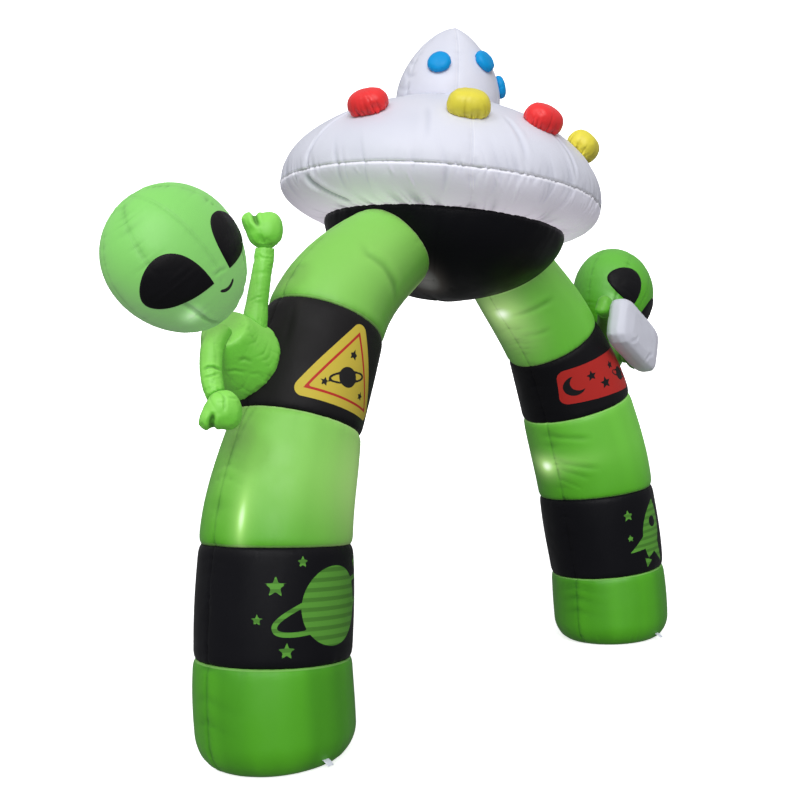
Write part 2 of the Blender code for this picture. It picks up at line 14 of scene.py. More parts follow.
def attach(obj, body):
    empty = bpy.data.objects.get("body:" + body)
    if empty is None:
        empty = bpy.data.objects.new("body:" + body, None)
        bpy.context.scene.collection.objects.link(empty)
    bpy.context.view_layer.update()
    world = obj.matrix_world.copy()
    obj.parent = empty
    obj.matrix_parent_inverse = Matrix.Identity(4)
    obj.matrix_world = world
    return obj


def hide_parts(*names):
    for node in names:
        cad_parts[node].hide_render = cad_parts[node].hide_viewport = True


# ------------------------------------------------------------------ sizes, as in the part
MIDDLE_OF_FEET = (0.082, -0.059, 0.0)
SEAM_DRAW = 0.006
SEAM_ZONE = 0.035
LEG_CROWN = 0.007
FOOT_ROUND_OUT = 0.085
FOOT_ROUND_UP = 0.115
SIDES = {"left": -1, "right": 1}
LEG_SEAMS = {
    "left": (
        # x      z     lean_deg  radius, at the ground and at each seam up to the bowl
        (1.141, 0.000,    0.0,   0.294),
        (1.135, 0.374,    5.4,   0.296),
        (1.090, 0.790,    5.4,   0.290),
        (0.954, 1.240,   19.0,   0.253),
        (0.780, 1.633,   26.2,   0.244),
        (0.343, 1.998,   62.0,   0.192),
    ),
    "right": (
        (1.141, 0.000,    0.0,   0.293),
        (1.135, 0.373,    4.3,   0.295),
        (1.073, 0.795,    5.8,   0.298),
        (0.943, 1.255,   18.0,   0.284),
        (0.766, 1.594,   34.8,   0.243),
        (0.395, 1.971,   46.0,   0.201),
    ),
}
LEG_PANELS = (
    # node name      colour
    ("foot",        "green"),
    ("lower_band",  "black"),
    ("middle",      "green"),
    ("upper_band",  "black"),
    ("top",         "green"),
)
LEG_MESH = {"black": (350, 0.0074), "green": (260, 0.0115)}     # columns, height of a row
FOOT_ROUND_SHARE = 0.06                 # the rows are closer together up to this share of the foot
FOOT_ROUND_ROWS = 12
FOOT_SHADE = (0.08, 0.2, -40.0, 24.0)  # all round, more at the sides, middle and width of the light streak
PRINT_CROWDING = 0.42                   # how much closer together the columns are at a print
PRINT_FRONT = 2.2                       # a print is drawn this far round its panel each way, in radians
# width of the painted highlight along a ring seam
SEAM_HIGHLIGHT_WIDTH = 0.0055
LEG_UPRIGHT_SEAM = -90.0                # azimuth of one upright seam, from the front towards +X
LEG_PUCKER_PITCH = 0.026
LEG_RING_SEAM = dict(reach=0.03, depth=0.0013, groove=0.0022)
LEG_SIDE_SEAM = dict(pitch=0.034, reach=0.058, depth=0.004, slant=0.25)
LEG_WAVE = 0.0016
LEG_BAND = 0.055                        # width of the faint upright bands of shade
LEG_SHADE = 0.1
FOOT_FOLD = 0.003
FAR_OFF = 9.0                           # stands for no seam near
FOLD_DEPTH = 0.012                      # a valley this deep is shaded in full

SAUCER_CENTRE = (0.021, 0.076, 2.117)
SAUCER_AXIS = (0.084, -0.117, 1.0)
BOWL_RADIUS = 0.562
BOWL_DEPTH = 0.335
BOWL_ROUNDNESS = 1.86
BOWL_SHIFT = (0.021, -0.021)
RIM_RADIUS = 0.746
RIM_HEIGHT = 0.128
DOME_RADIUS = 0.241
DOME_BASE = 0.554
DOME_TOP = 0.941
LOWER_CURVE = ((0.62, 0.0), (0.737, 0.059))
UPPER_CURVE = ((0.776, 0.355), (0.395, 0.523))
DOME_CURVE = ((0.271, 0.737), (0.075, DOME_TOP))
GORES = 6
GORE_TURN = -38.0
GORE_DRAW = 0.012
SAUCER_COLUMNS = 800
SAUCER_PUCKER_PITCH = 0.025
RIM_SEED = 73                           # the two panels draw the same folds at the rim seam they share
RIM_PUCKER_DEPTH = 0.0066
GORE_SEAM = dict(depth=0.0036, reach=0.045, groove=0.0012)
SAUCER_WAVE = 0.0025

HEAD_LENGTH = 0.534
HEAD_WIDTH = 0.505
HEAD_DEPTH = 0.414
HEAD_EGG = 0.088
HEAD_COLUMNS = 216
HEAD_ROWS = 106
HEAD_PITCH = 0.025
HEAD_GROOVE = 0.0018
HEAD_FOLD_DEPTH = 0.014
HEAD_SEAMS = (
    # degrees from across towards the front, depth and reach of its folds
    (0.0, 0.0025, 0.035),
    (47.5, 0.0046, 0.055),
    (90.0, 0.0008, 0.02),
    (132.5, 0.0046, 0.055),
    (180.0, 0.0025, 0.035),
    (230.0, 0.0025, 0.035),
    (310.0, 0.0025, 0.035),
)
HEAD_CREASES = (
    # path in the head's own frame: across, front, up; depth and width
    (((0.034, 0.186, -0.085), (-0.004, 0.19, -0.091), (-0.036, 0.183, -0.1)), 0.0045, 0.006),
    (((0.153, 0.135, -0.09), (0.134, 0.123, -0.143), (0.103, 0.089, -0.204), (0.06, 0.05, -0.245)),
     0.008, 0.008),
    (((-0.153, 0.135, -0.09), (-0.134, 0.123, -0.143), (-0.103, 0.089, -0.204)), 0.006, 0.008),
    (((0.01, 0.18, -0.112), (0.022, 0.165, -0.132)), 0.002, 0.006),
)
HEAD_GLOWS = (
    # place in the head's own frame, size, strength
    ((0.15, 0.11, -0.15), 0.032, 0.42),
)
SMILE = (-0.002, -0.118, 0.042)     # middle across and up, and radius
SMILE_HALF_LINE = 0.006
SMILE_BELOW = -0.1455
MID_SEAM_END = -0.08     # the seam down the middle of the face stops here
EYE_THICK = 0.0025
EYE_TIP = (0.042, -0.108)
EYE_TOP = (0.205, 0.046)
EYE_HALF_WIDTH = 0.084
EYE_COLUMNS = 96
EYE_RINGS = 22
EYE_CROWN = 0.004
EYE_SUNK = 0.002                        # its back is this far in the head's cloth
FIGURES = {
    "left": dict(side=-1, head=(-1.5, -0.062, 1.835), lean=41.2, turn=4.3, nod=-5.0,
                 eyes=(1.03, 0.9)),
    "right": dict(side=1, head=(1.337, -0.015, 1.843), lean=35.5, turn=-4.8, nod=1.9,
                  eyes=(0.94, 0.92)),
}
LAMPS = ("red", "yellow", "red", "yellow", "red", "yellow", "red", "yellow")
WINDOWS = 6

# ------------------------------------------------------------------ looks
COLOURS = {
    # name: lit cloth, and the same cloth in painted shade, as in the folds
    "green": ((0.088, 0.425, 0.01), (0.026, 0.18, 0.003)),
    "black": ((0.006, 0.006, 0.008), (0.002, 0.002, 0.003)),
    "white": ((0.72, 0.735, 0.83), (0.57, 0.59, 0.7)),
    "red": ((0.95, 0.038, 0.04), (0.48, 0.01, 0.012)),
    "yellow": ((0.86, 0.755, 0.07), (0.48, 0.37, 0.015)),
    "blue": ((0.0, 0.33, 0.76), (0.0, 0.12, 0.4)),
}
INKS = {
    "ink_yellow": (0.64, 0.5, 0.06),
    "ink_red": (0.52, 0.03, 0.025),
    "ink_green": (0.11, 0.34, 0.045),
    "ink_black": (0.012, 0.012, 0.014),
}
STRIPE_PITCH = 0.034
STAR_WAIST = 0.42                       # how far in a star's inner corners are, as a share of its size
SEAM_HIGHLIGHT_AND_THREAD_TINTS = {                           # painted highlight: a pale line on the cloth's edge along a ring seam; the white one is also the thread's colour on white cloth
    "green": (0.3, 0.62, 0.16),
    "white": (0.9, 0.91, 0.96),
}
THREAD_ROW = 0.0065                     # how far from the seam the rows of thread are
STITCH = 0.0045
WEAVE_SCALE = 380.0

# Places on a leg are a panel, the share of the way up it, and the azimuth from the front towards +X.
LEG_CREASES = {
    # leg, panel: path as share and azimuth, depth, width
    ("left", "top"): (
        (((0.5, -46), (0.43, -29), (0.44, -8), (0.41, 15), (0.34, 38)), 0.0036, 0.02),
    ),
    ("right", "top"): (
        (((0.66, -82), (0.62, -45), (0.58, -15)), 0.0036, 0.014),
        (((0.4, -84), (0.36, -62), (0.34, -40)), 0.0026, 0.013),
    ),
    ("left", "middle"): (
        (((0.99, -78), (0.86, -84), (0.7, -88)), 0.0022, 0.01),
    ),
    ("right", "middle"): (
        (((0.52, -92), (0.44, -70), (0.36, -44)), 0.0032, 0.013),
        (((0.46, -92), (0.35, -74), (0.25, -56)), 0.0026, 0.012),
        (((0.84, -88), (0.8, -70), (0.74, -46)), 0.003, 0.013),
        (((0.3, -92), (0.22, -78), (0.14, -66)), 0.0025, 0.008),
    ),
    ("left", "upper_band"): (
        (((0.95, -70), (0.7, -66), (0.5, -64)), 0.002, 0.014),
    ),
}
LEG_GLOWS = {
    # leg, panel: share, azimuth, size round the leg, size up the leg, strength
    ("left", "middle"): ((0.19, -65, 0.014, 0.06, 0.45), (0.21, -65, 0.04, 0.12, 0.24),
                         (0.45, -8, 0.16, 0.3, 0.06), (0.55, 32, 0.15, 0.3, 0.3)),
    ("left", "upper_band"): ((0.93, -64, 0.02, 0.05, 0.1),),
    ("right", "middle"): ((0.44, -102, 0.04, 0.036, 0.42), (0.44, -102, 0.095, 0.07, 0.34),
                          (0.5, -84, 0.2, 0.05, 0.16)),
    ("right", "top"): ((0.7, -86, 0.034, 0.028, 0.22), (0.7, -86, 0.09, 0.07, 0.24),
                       (0.62, -84, 0.13, 0.22, 0.38)),
    ("left", "top"): ((0.75, 62, 0.04, 0.15, 0.22), (0.45, -5, 0.2, 0.3, 0.06)),
}

# On the saucer a place is the share of the way from a panel's lower edge to its upper one, and the azimuth.
UPPER_CREASES = (
    (((0.02, -98), (0.15, -97), (0.35, -94), (0.6, -93)), 0.0095, 0.014),
    (((0.1, -52), (0.3, -53), (0.5, -55)), 0.003, 0.014),
    (((0.05, -20), (0.3, -22), (0.48, -24)), 0.004, 0.013),
    (((0.04, 2), (0.25, 1), (0.45, -2)), 0.004, 0.012),
    (((0.04, 18), (0.22, 18), (0.38, 16)), 0.0035, 0.011),
)
LOWER_CREASES = (
    (((1.0, -100), (0.7, -98), (0.4, -93), (0.05, -86)), 0.02, 0.02),
    (((0.98, -104), (0.75, -108), (0.45, -109)), 0.005, 0.012),
)
LOWER_RIDGES = (
    # azimuth, share of the way up where it starts and ends
    (-92, 0.9, 0.62), (-76, 0.96, 0.8), (-64, 0.97, 0.74), (-58, 0.86, 0.5), (-38, 0.96, 0.5),
    (-30, 0.92, 0.72), (-22, 0.86, 0.42), (-11, 0.92, 0.52), (2, 0.9, 0.56), (9, 0.94, 0.7),
    (19, 0.95, 0.36), (24, 0.9, 0.6), (60, 0.92, 0.6), (84, 0.95, 0.55), (125, 0.92, 0.62),
    (160, 0.94, 0.58), (-150, 0.92, 0.6), (-125, 0.94, 0.66),
)
RIDGE = (-0.004, 0.0055)                # depth, below zero because it stands up, and width
DOME_CREASES = (
    (((0.3, -112), (0.22, -100), (0.2, -86)), 0.005, 0.01),
    (((0.42, -118), (0.36, -104), (0.36, -92)), 0.004, 0.009),
    (((0.16, -124), (0.1, -104), (0.1, -88)), 0.004, 0.009),
)
BOWL_GLOW = (-60, 0.4, 0.065, 1.7)       # azimuth, share, size and strength of a painted glow, a lighter patch in the bowl
BOWL_CREASES = (
    (((0.99, -47), (0.6, -47), (0.25, -46)), 0.003, 0.006),
    (((0.42, -66), (0.4, -50), (0.4, -36)), 0.003, 0.01),
    (((0.36, -32), (0.3, -20), (0.3, -8)), 0.003, 0.008),
)

SMALL_CREASES = {
    # node: path in metres, depth, width
    "figure_left_torso": (
        (((-1.304, -0.03, 1.45), (-1.281, -0.063, 1.451), (-1.242, -0.08, 1.441)), 0.0026, 0.0075),
        (((-1.292, -0.09, 1.48), (-1.262, -0.099, 1.488), (-1.23, -0.102, 1.474)), 0.0026, 0.0075),
        (((-1.235, -0.08, 1.44), (-1.2, -0.09, 1.436), (-1.165, -0.085, 1.415)), 0.002, 0.007),
    ),
    "board": (
        (((0.88, -0.37, 1.56), (0.93, -0.395, 1.56), (0.96, -0.4, 1.585)), 0.0025, 0.01),
        (((1.06, -0.35, 1.45), (1.09, -0.385, 1.485), (1.14, -0.38, 1.49)), 0.0025, 0.01),
    ),
    "figure_left_hanging_arm": (
        (((-1.446, -0.096, 1.44), (-1.435, -0.117, 1.456), (-1.418, -0.129, 1.455), (-1.385, -0.125, 1.436)),
         0.005, 0.0055),
        (((-1.452, -0.105, 1.415), (-1.437, -0.135, 1.425), (-1.402, -0.138, 1.43)), 0.0028, 0.005),
    ),
    "figure_left_hanging_hand": (
        (((-1.43, -0.185, 1.36), (-1.429, -0.197, 1.336), (-1.433, -0.197, 1.295)), 0.0028, 0.0055),
        (((-1.425, -0.11, 1.245), (-1.45, -0.14, 1.242), (-1.463, -0.16, 1.262), (-1.462, -0.172, 1.298)),
         0.014, 0.01),
        (((-1.415, -0.195, 1.345), (-1.385, -0.19, 1.33)), 0.0022, 0.005),
    ),
    "figure_left_raised_hand": (
        (((-1.125, -0.025, 2.036), (-1.152, -0.06, 2.04), (-1.166, -0.085, 2.005), (-1.16, -0.095, 1.975)),
         0.013, 0.01),
    ),
    "figure_left_raised_arm": (
        (((-1.19, -0.035, 1.705), (-1.17, -0.066, 1.718), (-1.145, -0.075, 1.722)), 0.0016, 0.0045),
    ),
}
SMALL_SEAMS = {
    # node: path in metres of a seam down the piece's own cloth, depth and reach of its folds
    "figure_left_torso": (
        (((-1.352, -0.105, 1.585), (-1.313, -0.104, 1.539), (-1.268, -0.1, 1.49)), 0.002, 0.034),
        (((-1.266, -0.059, 1.632), (-1.235, -0.117, 1.561), (-1.18, -0.116, 1.49), (-1.15, -0.1, 1.43)),
         0.002, 0.04),
        (((-1.31, -0.03, 1.5), (-1.3, -0.03, 1.44), (-1.262, -0.035, 1.39), (-1.21, -0.04, 1.365)),
         0.0026, 0.04),
    ),
    "figure_left_hanging_arm": (
        (((-1.405, -0.12, 1.59), (-1.4, -0.125, 1.5), (-1.425, -0.13, 1.4)), 0.001, 0.02),
    ),
    "figure_left_raised_arm": (
        (((-1.19, -0.035, 1.64), (-1.165, -0.066, 1.74), (-1.165, -0.06, 1.9)), 0.0008, 0.016),
    ),
}
SMALL_SEAM = dict(pitch=0.026, groove=0.001, slant=0.35)
SMALL_MESHES = {
    # kind: size of a voxel and rounds of smoothing; pitch, reach and depth of its puckers
    "lamp": ((0.0083, 9), (0.021, 0.055, 0.0085)),
    "window": ((0.0065, 4), (0.02, 0.026, 0.004)),
    "torso": ((0.0073, 17), (0.024, 0.06, 0.0042)),
    "arm": ((0.0055, 10), (0.02, 0.024, 0.0018)),
    "hand": ((0.0055, 5), (0.018, 0.04, 0.0035)),
    "far_torso": ((0.012, 8), (0.024, 0.06, 0.0042)),     # the far figure is mostly hidden, so it is coarser
    "far_arm": ((0.009, 4), (0.02, 0.024, 0.0018)),
    "far_hand": ((0.008, 3), (0.018, 0.04, 0.0035)),
    "board": ((0.01, 1), (0.02, 0.04, 0.003)),
}
BOARD_GLOW = 0.05
SEAM_SEARCH = 0.3                       # a neighbour is looked for this far off
PUFF = dict(quality=5, mass=0.12, tension_stiffness=12, compression_stiffness=8, shear_stiffness=5,
            bending_stiffness=0.05, use_pressure=True, uniform_pressure_force=4.0, shrink_min=-0.06)
PUFF_STEPS = 16
PUFF_LIMIT = 0.007
ARM_PUFF_LIMIT = 0.0015
PUFF_HELD = 0.01                        # the cloth is held this close to a seam

# ------------------------------------------------------------------ light
SKY = ((-0.8, 0.16), (0.9, 0.42))      # height of a direction and how bright it is there
FLOOR_GLOW = 0.75
FLOOR_HALF = 30.0
WALL_FAR = 18.0                         # how far each wall's middle is along X and along Y
WALL_HALF = 162.0
WALL_LOW = -9.0
WALL_TOP = 270.0
LIGHTS = (
    # name   shines from            angle  strength
    ("key",  (-3.3, -3.7, 2.6),     34.0,  1.90),
    ("side", (-5.0, -1.0, 5.0),     14.0,  0.60),
)
GLOW_TINTS = {                          # colour of the sky's light where it comes through the cloth
    "green": (0.76, 0.9, 0.44),
    "black": (0.95, 0.85, 0.75),
    "white": (0.98, 0.87, 1.0),
}
PALE_LIGHT = (1.0, 1.0, 0.94)
GLOW_PALE = 0.75                        # how much of that tint shows over the cloth's own colour
GLOW_BASE = 0.26
GLOW_WAY = (-0.44, -0.36, 0.82)         # the cloth that faces this way shows most of it
LEG_GLOW_WAY = (-0.26, -0.51, 0.82)
GLOW_ACROSS = ((-0.6, 0.8), (1.0, 0.4))  # share of it from the left of the arch to the right
GLOW_HEIGHTS = (0.7, 1.1)             # it starts to show between these heights
# colour of the painted glow in the cloth's own colour
INNER_GLOW_TINT = (0.3, 1.0, 0.13)
INNER_WAY = (-0.5, -0.75, 0.43)        # the cloth that faces this way shows most of it
INNER_GLOWS = {"figure_left_head": 0.1, "figure_left": 0.19, "figure_right": 0.03, "leg_right": 0.13}
HEAD_GLOW = {"left": (0.25, 0.215), "right": (1.0, -0.03)}     # share of the sky's light, more at the front
# colour of the painted glow on the face
FACE_GLOW_TINT = (0.71, 0.96, 0.67)
HOT_GLOW = (0.45, 0.95)                 # between these strengths the light turns white

# ------------------------------------------------------------------ camera
CAMERA_PLACE = (-3.407, -2.996, 1.232)
CAMERA_YAW = 0.79142
CAMERA_PITCH = 0.02006
CAMERA_ROLL = -0.06035
CAMERA_LENS = 44.21


# ------------------------------------------------------------------ noise
TURN = 2 * math.pi


def smooth(t):
    """From 0 to 1 with a level start and end."""
    return t * t * (3 - 2 * t)


def dice(n, seed):
    """A repeatable number from -1 to 1 for each whole number."""
    return 2 * np.modf(np.abs(np.sin(n * 12.9898 + seed * 78.233) * 43758.5453))[0] - 1


def wander(x, seed, period=0):
    """Smooth noise along one coordinate, from -1 to 1, about one swing per unit."""
    cell = np.floor(x)
    t = smooth(x - cell)
    low, high = (cell % period, (cell + 1) % period) if period else (cell, cell + 1)
    return dice(low, seed) * (1 - t) + dice(high, seed) * t


def wander_2d(x, y, seed, period=0):
    """Smooth noise on a plane, from -1 to 1, about one swing per unit each way."""
    cell = np.floor(y)
    t = smooth(y - cell)
    low, high = (wander(x, seed + 0.37 * (row % 97), period) for row in (cell, cell + 1))
    return low * (1 - t) + high * t


def off_by(angle, degrees):
    """How far angles are from a direction given in degrees, from -pi to pi."""
    return np.remainder(angle - math.radians(degrees) + math.pi, TURN) - math.pi


def whole_pitch(radius, pitch):
    """How many folds of about this pitch go round a ring, and their exact pitch."""
    count = round(TURN * radius / pitch)
    return count, TURN * radius / count


def folds(run, gap, seed, pitch, reach, slant=0.0, period=0):
    """Short folds that run away from a seam, from 0 to 1. Each has its own length."""
    along = run + slant * gap
    length = reach * (0.75 + 0.65 * wander(along / pitch * 0.5, seed + 3, period / 2))
    ridge = 1 - np.abs(wander(along / pitch, seed, period))
    return ridge ** 2 * np.exp(-(gap / np.maximum(length, 0.01)) ** 1.5)


def seam_height(run, gap, seed, pitch=0.03, reach=0.055, depth=0.0045, groove=0.003, slant=0.0, period=0):
    """Height of the cloth beside a seam: a narrow groove and the folds that its thread draws in."""
    drawn = folds(run, gap, seed, pitch, reach, slant, period)
    fine = folds(run, gap, seed + 11, pitch * 0.45, reach * 0.45, -slant, 0)
    return -depth * (drawn - 0.4 * np.exp(-gap / reach)) - 0.35 * depth * fine - groove * np.exp(-gap / 0.005)


def polygon_edge(x, y, corners, rounding=0.0):
    """Distance outside a polygon's edge, and below zero inside it."""
    far = np.full(np.shape(x), 1e9)
    inside = np.zeros(np.shape(x), bool)
    for (x0, y0), (x1, y1) in zip(corners, corners[1:] + corners[:1]):
        dx, dy = x1 - x0, y1 - y0
        t = np.clip(((x - x0) * dx + (y - y0) * dy) / (dx * dx + dy * dy), 0, 1)
        far = np.minimum(far, np.hypot(x - x0 - t * dx, y - y0 - t * dy))
        if y0 != y1:
            inside ^= ((y0 > y) != (y1 > y)) & (x < dx * (y - y0) / dy + x0)
    return np.where(inside, -far, far) - rounding


def joined(*shapes):
    return np.minimum.reduce(shapes)


def stars_edge(x, y, *stars):
    """Five-pointed stars, each given by its middle and its size."""
    shapes = []
    for (across, up), size in stars:
        tips = [(size * (1.0, STAR_WAIST)[k % 2], math.pi * k / 5) for k in range(10)]
        corners = [(across + far * math.sin(turn), up + far * math.cos(turn)) for far, turn in tips]
        shapes.append(polygon_edge(x, y, corners))
    return joined(*shapes)


def turned(x, y, degrees):
    """A place on a drawing, turned round its middle."""
    c, n = math.cos(math.radians(degrees)), math.sin(math.radians(degrees))
    return x * c - y * n, y * c + x * n


def disc_edge(x, y, at, size):
    return np.hypot(x - at[0], y - at[1]) - size


def ring_edge(x, y, at, wide, narrow, tilt, half_line):
    """A tilted flat ring round a planet, drawn as a line."""
    u, v = turned(x - at[0], y - at[1], -tilt)
    size = np.hypot(u / wide, v / narrow)
    slope = np.hypot(u / wide ** 2, v / narrow ** 2) / np.maximum(size, 1e-6)
    return np.abs(size - 1) / np.maximum(slope, 1e-6) - half_line


def path_distance(points, path):
    """Distance from each point to a line through path, and the distance along that line."""
    path = np.array(path, float)
    best = np.full(len(points), 1e9)
    run = np.zeros(len(points))
    start = 0.0
    for a, b in zip(path, path[1:]):
        length = np.linalg.norm(b - a)
        way = (b - a) / length
        t = np.clip((points - a) @ way, 0, length)
        far = np.linalg.norm(points - a - t[:, None] * way, axis=1)
        near = far < best
        best[near] = far[near]
        run[near] = start + t[near]
        start += length
    return best, run


def dense(path, count=25):
    """Even steps along a path given by a few points."""
    path = np.array(path, float)
    at = np.linspace(0, len(path) - 1, count)
    return np.stack([np.interp(at, np.arange(len(path)), path[:, k]) for k in range(path.shape[1])], axis=1)


def crease_height(points, path, depth, width):
    """A fold along a line: a valley with a low roll on each side, fading at its ends."""
    far, run = path_distance(points, path)
    total = sum(np.linalg.norm(np.subtract(b, a)) for a, b in zip(path, path[1:]))
    ends = np.clip(np.minimum(run, total - run) / (0.25 * total), 0, 1)
    valley = np.exp(-(far / width) ** 2)
    roll = np.exp(-((far - 1.9 * width) / width) ** 2)
    return depth * ends * (0.35 * roll - valley)


# ------------------------------------------------------------------ meshes
def add_mesh(name, vertices, faces):
    mesh = bpy.data.meshes.new(name)
    mesh.from_pydata(vertices.tolist(), [], faces)
    mesh.shade_smooth()
    made = bpy.data.objects.new(name, mesh)
    bpy.context.collection.objects.link(made)
    return made


def note(piece, **values):
    """Keep one number for each vertex, which the piece's material reads."""
    for name, numbers in values.items():
        kept = piece.data.attributes.get(name) or piece.data.attributes.new(name, 'FLOAT', 'POINT')
        kept.data.foreach_set("value", np.asarray(numbers, np.float32).ravel())


def grid_normals(points):
    """Outward normals of a grid of rows that each go once round."""
    round_way = np.roll(points, -1, axis=1) - np.roll(points, 1, axis=1)
    up_way = np.gradient(points, axis=0)
    normals = np.cross(round_way, up_way)
    normals /= np.maximum(np.linalg.norm(normals, axis=2, keepdims=True), 1e-12)
    centre = points.mean(axis=(0, 1))
    if ((points - centre) * normals).sum() < 0:
        normals = -normals
    return normals


def grid_piece(name, points, notes, pole_start=None, pole_end=None):
    """A closed body from rows of points, with a pole at each end."""
    rows, columns, _ = points.shape
    poles = [p if p is not None else ring.mean(axis=0)
             for p, ring in ((pole_start, points[0]), (pole_end, points[-1]))]
    vertices = np.vstack([points.reshape(-1, 3), poles])
    faces = []
    for r in range(rows - 1):
        low, high = r * columns, (r + 1) * columns
        faces += [(low + k, low + (k + 1) % columns, high + (k + 1) % columns, high + k)
                  for k in range(columns)]
    first, last, base = rows * columns, rows * columns + 1, (rows - 1) * columns
    faces += [((k + 1) % columns, k, first) for k in range(columns)]
    faces += [(base + k, base + (k + 1) % columns, last) for k in range(columns)]
    piece = add_mesh(name, vertices, faces)
    outward = grid_normals(points)[rows // 2, 0]
    first_way = points[rows // 2, 1] - points[rows // 2, 0]
    up_way = points[rows // 2 + 1, 0] - points[rows // 2, 0]
    if np.dot(np.cross(first_way, up_way), outward) < 0:
        piece.data.flip_normals()
    for label, numbers in notes.items():
        numbers = np.asarray(numbers)
        ends = (numbers[0].mean(), numbers[-1].mean())
        note(piece, **{label: np.concatenate([numbers.ravel(), ends])})
    return piece


def glow_share(points):
    """The light starts to show above the ground, and shows in full higher up."""
    low, high = GLOW_HEIGHTS
    return smooth(np.clip((points[:, 2] - low) / (high - low), 0, 1))


def glow_at(points, normals, way=GLOW_WAY):
    """Sky light that comes through the cloth, most where it faces up and forward."""
    facing = np.clip((normals @ np.array(way) - 0.2) / 0.65, 0, 1)
    across = np.interp(points[:, 0], *GLOW_ACROSS)
    return GLOW_BASE * glow_share(points) * (0.12 + 0.88 * facing) * across


def inner_glow(points, normals, node):
    """Light in the cloth's own colour, from the lamps inside, for the pieces that show it."""
    strength = next((share for start, share in INNER_GLOWS.items() if node.startswith(start)), 0.0)
    facing = np.clip(normals @ np.array(INNER_WAY) + 0.35, 0, 1)
    return strength * glow_share(points) * (0.2 + 0.8 * facing)


def vertices_of(piece):
    found = np.empty(3 * len(piece.data.vertices))
    piece.data.vertices.foreach_get("co", found)
    return found.reshape(-1, 3)


def normals_of(piece):
    found = np.empty(3 * len(piece.data.vertices))
    piece.data.vertex_normals.foreach_get("vector", found)
    return found.reshape(-1, 3)


def finish_piece(piece, node, material, glow=None):
    points, normals = vertices_of(piece), normals_of(piece)
    if glow is None:
        glow = glow_at(points, normals)
    note(piece, glow=glow, inner=inner_glow(points, normals, node))
    piece.location = MIDDLE_OF_FEET
    piece.data.materials.clear()
    piece.data.materials.append(material)
    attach(piece, "root")
    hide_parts(node)


# ------------------------------------------------------------------ materials
class Nodes:
    """Short ways to add and join shader nodes."""

    def __init__(self, name):
        self.material = bpy.data.materials.new(name)
        self.material.use_nodes = True
        self.tree = self.material.node_tree

    def add(self, kind, **settings):
        node = self.tree.nodes.new(kind)
        for key, value in settings.items():
            setattr(node, key, value)
        return node

    def put(self, node, values):
        """Give a node's sockets numbers, colours or what comes out of other nodes."""
        for key, value in values.items():
            if isinstance(value, bpy.types.NodeSocket):
                self.tree.links.new(value, node.inputs[key])
            else:
                node.inputs[key].default_value = (*value, 1.0) if isinstance(value, tuple) else value

    def shader(self, **values):
        """Set the cloth's own sockets, with _ in place of each space in a name."""
        self.put(self.tree.nodes["Principled BSDF"], {key.replace("_", " "): v for key, v in values.items()})

    def attribute(self, name):
        return self.add("ShaderNodeAttribute", attribute_name=name).outputs["Fac"]

    def maths(self, operation, *values):
        node = self.add("ShaderNodeMath", operation=operation)
        self.put(node, dict(enumerate(values)))
        return node.outputs[0]

    def ramp(self, value, start, end, low=0.0, high=1.0):
        node = self.add("ShaderNodeMapRange", interpolation_type='SMOOTHSTEP')
        self.put(node, {"Value": value, "From Min": start, "From Max": end, "To Min": low, "To Max": high})
        return node.outputs[0]

    def mix(self, share, a, b):
        node = self.add("ShaderNodeMix", data_type='RGBA')
        self.put(node, {0: share, 6: a, 7: b})      # the sockets that this node uses for colours
        return node.outputs[2]

    def noise(self, scale, detail=2.0, stretch=(1, 1, 1), roughness=0.5):
        mapping = self.add("ShaderNodeMapping")
        mapping.inputs["Scale"].default_value = stretch
        self.put(mapping, {"Vector": self.add("ShaderNodeTexCoord").outputs["Object"]})
        node = self.add("ShaderNodeTexNoise")
        self.put(node, {"Scale": scale, "Detail": detail, "Roughness": roughness})
        self.put(node, {"Vector": mapping.outputs[0]})
        return node.outputs["Fac"]

    def wave(self, direction, scale):
        place = self.add("ShaderNodeTexCoord").outputs["Object"]
        node = self.add("ShaderNodeTexWave", bands_direction=direction)
        self.put(node, {"Scale": scale, "Distortion": 0.4, "Vector": place})
        return node.outputs["Fac"]

    def bump(self, height, distance, strength, under=None):
        node = self.add("ShaderNodeBump")
        self.put(node, {"Strength": strength, "Distance": distance, "Height": height})
        if under is not None:
            self.put(node, {"Normal": under})
        return node.outputs["Normal"]


def smile(made):
    """The printed mouth: part of a circle, thin at its ends."""
    across, up = made.attribute("face_across"), made.attribute("face_up")
    x, z = made.maths('SUBTRACT', across, SMILE[0]), made.maths('SUBTRACT', up, SMILE[1])
    far = made.maths('SQRT', made.maths('ADD', made.maths('MULTIPLY', x, x), made.maths('MULTIPLY', z, z)))
    line = made.maths('ABSOLUTE', made.maths('SUBTRACT', far, SMILE[2]))
    half = made.ramp(up, SMILE_BELOW - 0.008, SMILE_BELOW, SMILE_HALF_LINE, SMILE_HALF_LINE * 0.6)
    inside = made.ramp(made.maths('SUBTRACT', line, half), -0.0006, 0.0006, 1.0, 0.0)
    return made.maths('MULTIPLY', inside, made.ramp(up, SMILE_BELOW - 0.0006, SMILE_BELOW + 0.0006, 1.0, 0.0))


def printed(made, base, inks):
    """The cloth's colour with the inks over it."""
    for label in inks:
        mask = made.ramp(made.attribute(label), -0.0008, 0.0008, 1.0, 0.0)
        if label == "ink_green":        # this ink is printed in stripes
            stripe = made.maths('FRACT', made.maths('DIVIDE', made.attribute("print_up"), STRIPE_PITCH))
            mask = made.maths('MULTIPLY', mask, made.ramp(stripe, 0.52, 0.6, 1.0, 0.66))
        base = made.mix(mask, base, INKS[label])
    return base


def thread_mask(made, gap):
    """The rows of thread beside each seam."""
    row = made.maths('ABSOLUTE', made.maths('SUBTRACT', gap, THREAD_ROW))
    row = made.ramp(row, 0.0005, 0.0009, 1.0, 0.0)
    dash = made.maths('FRACT', made.maths('DIVIDE', made.attribute("seam_run"), STITCH))
    return made.maths('MULTIPLY', row, made.ramp(dash, 0.62, 0.72, 1.0, 0.0))


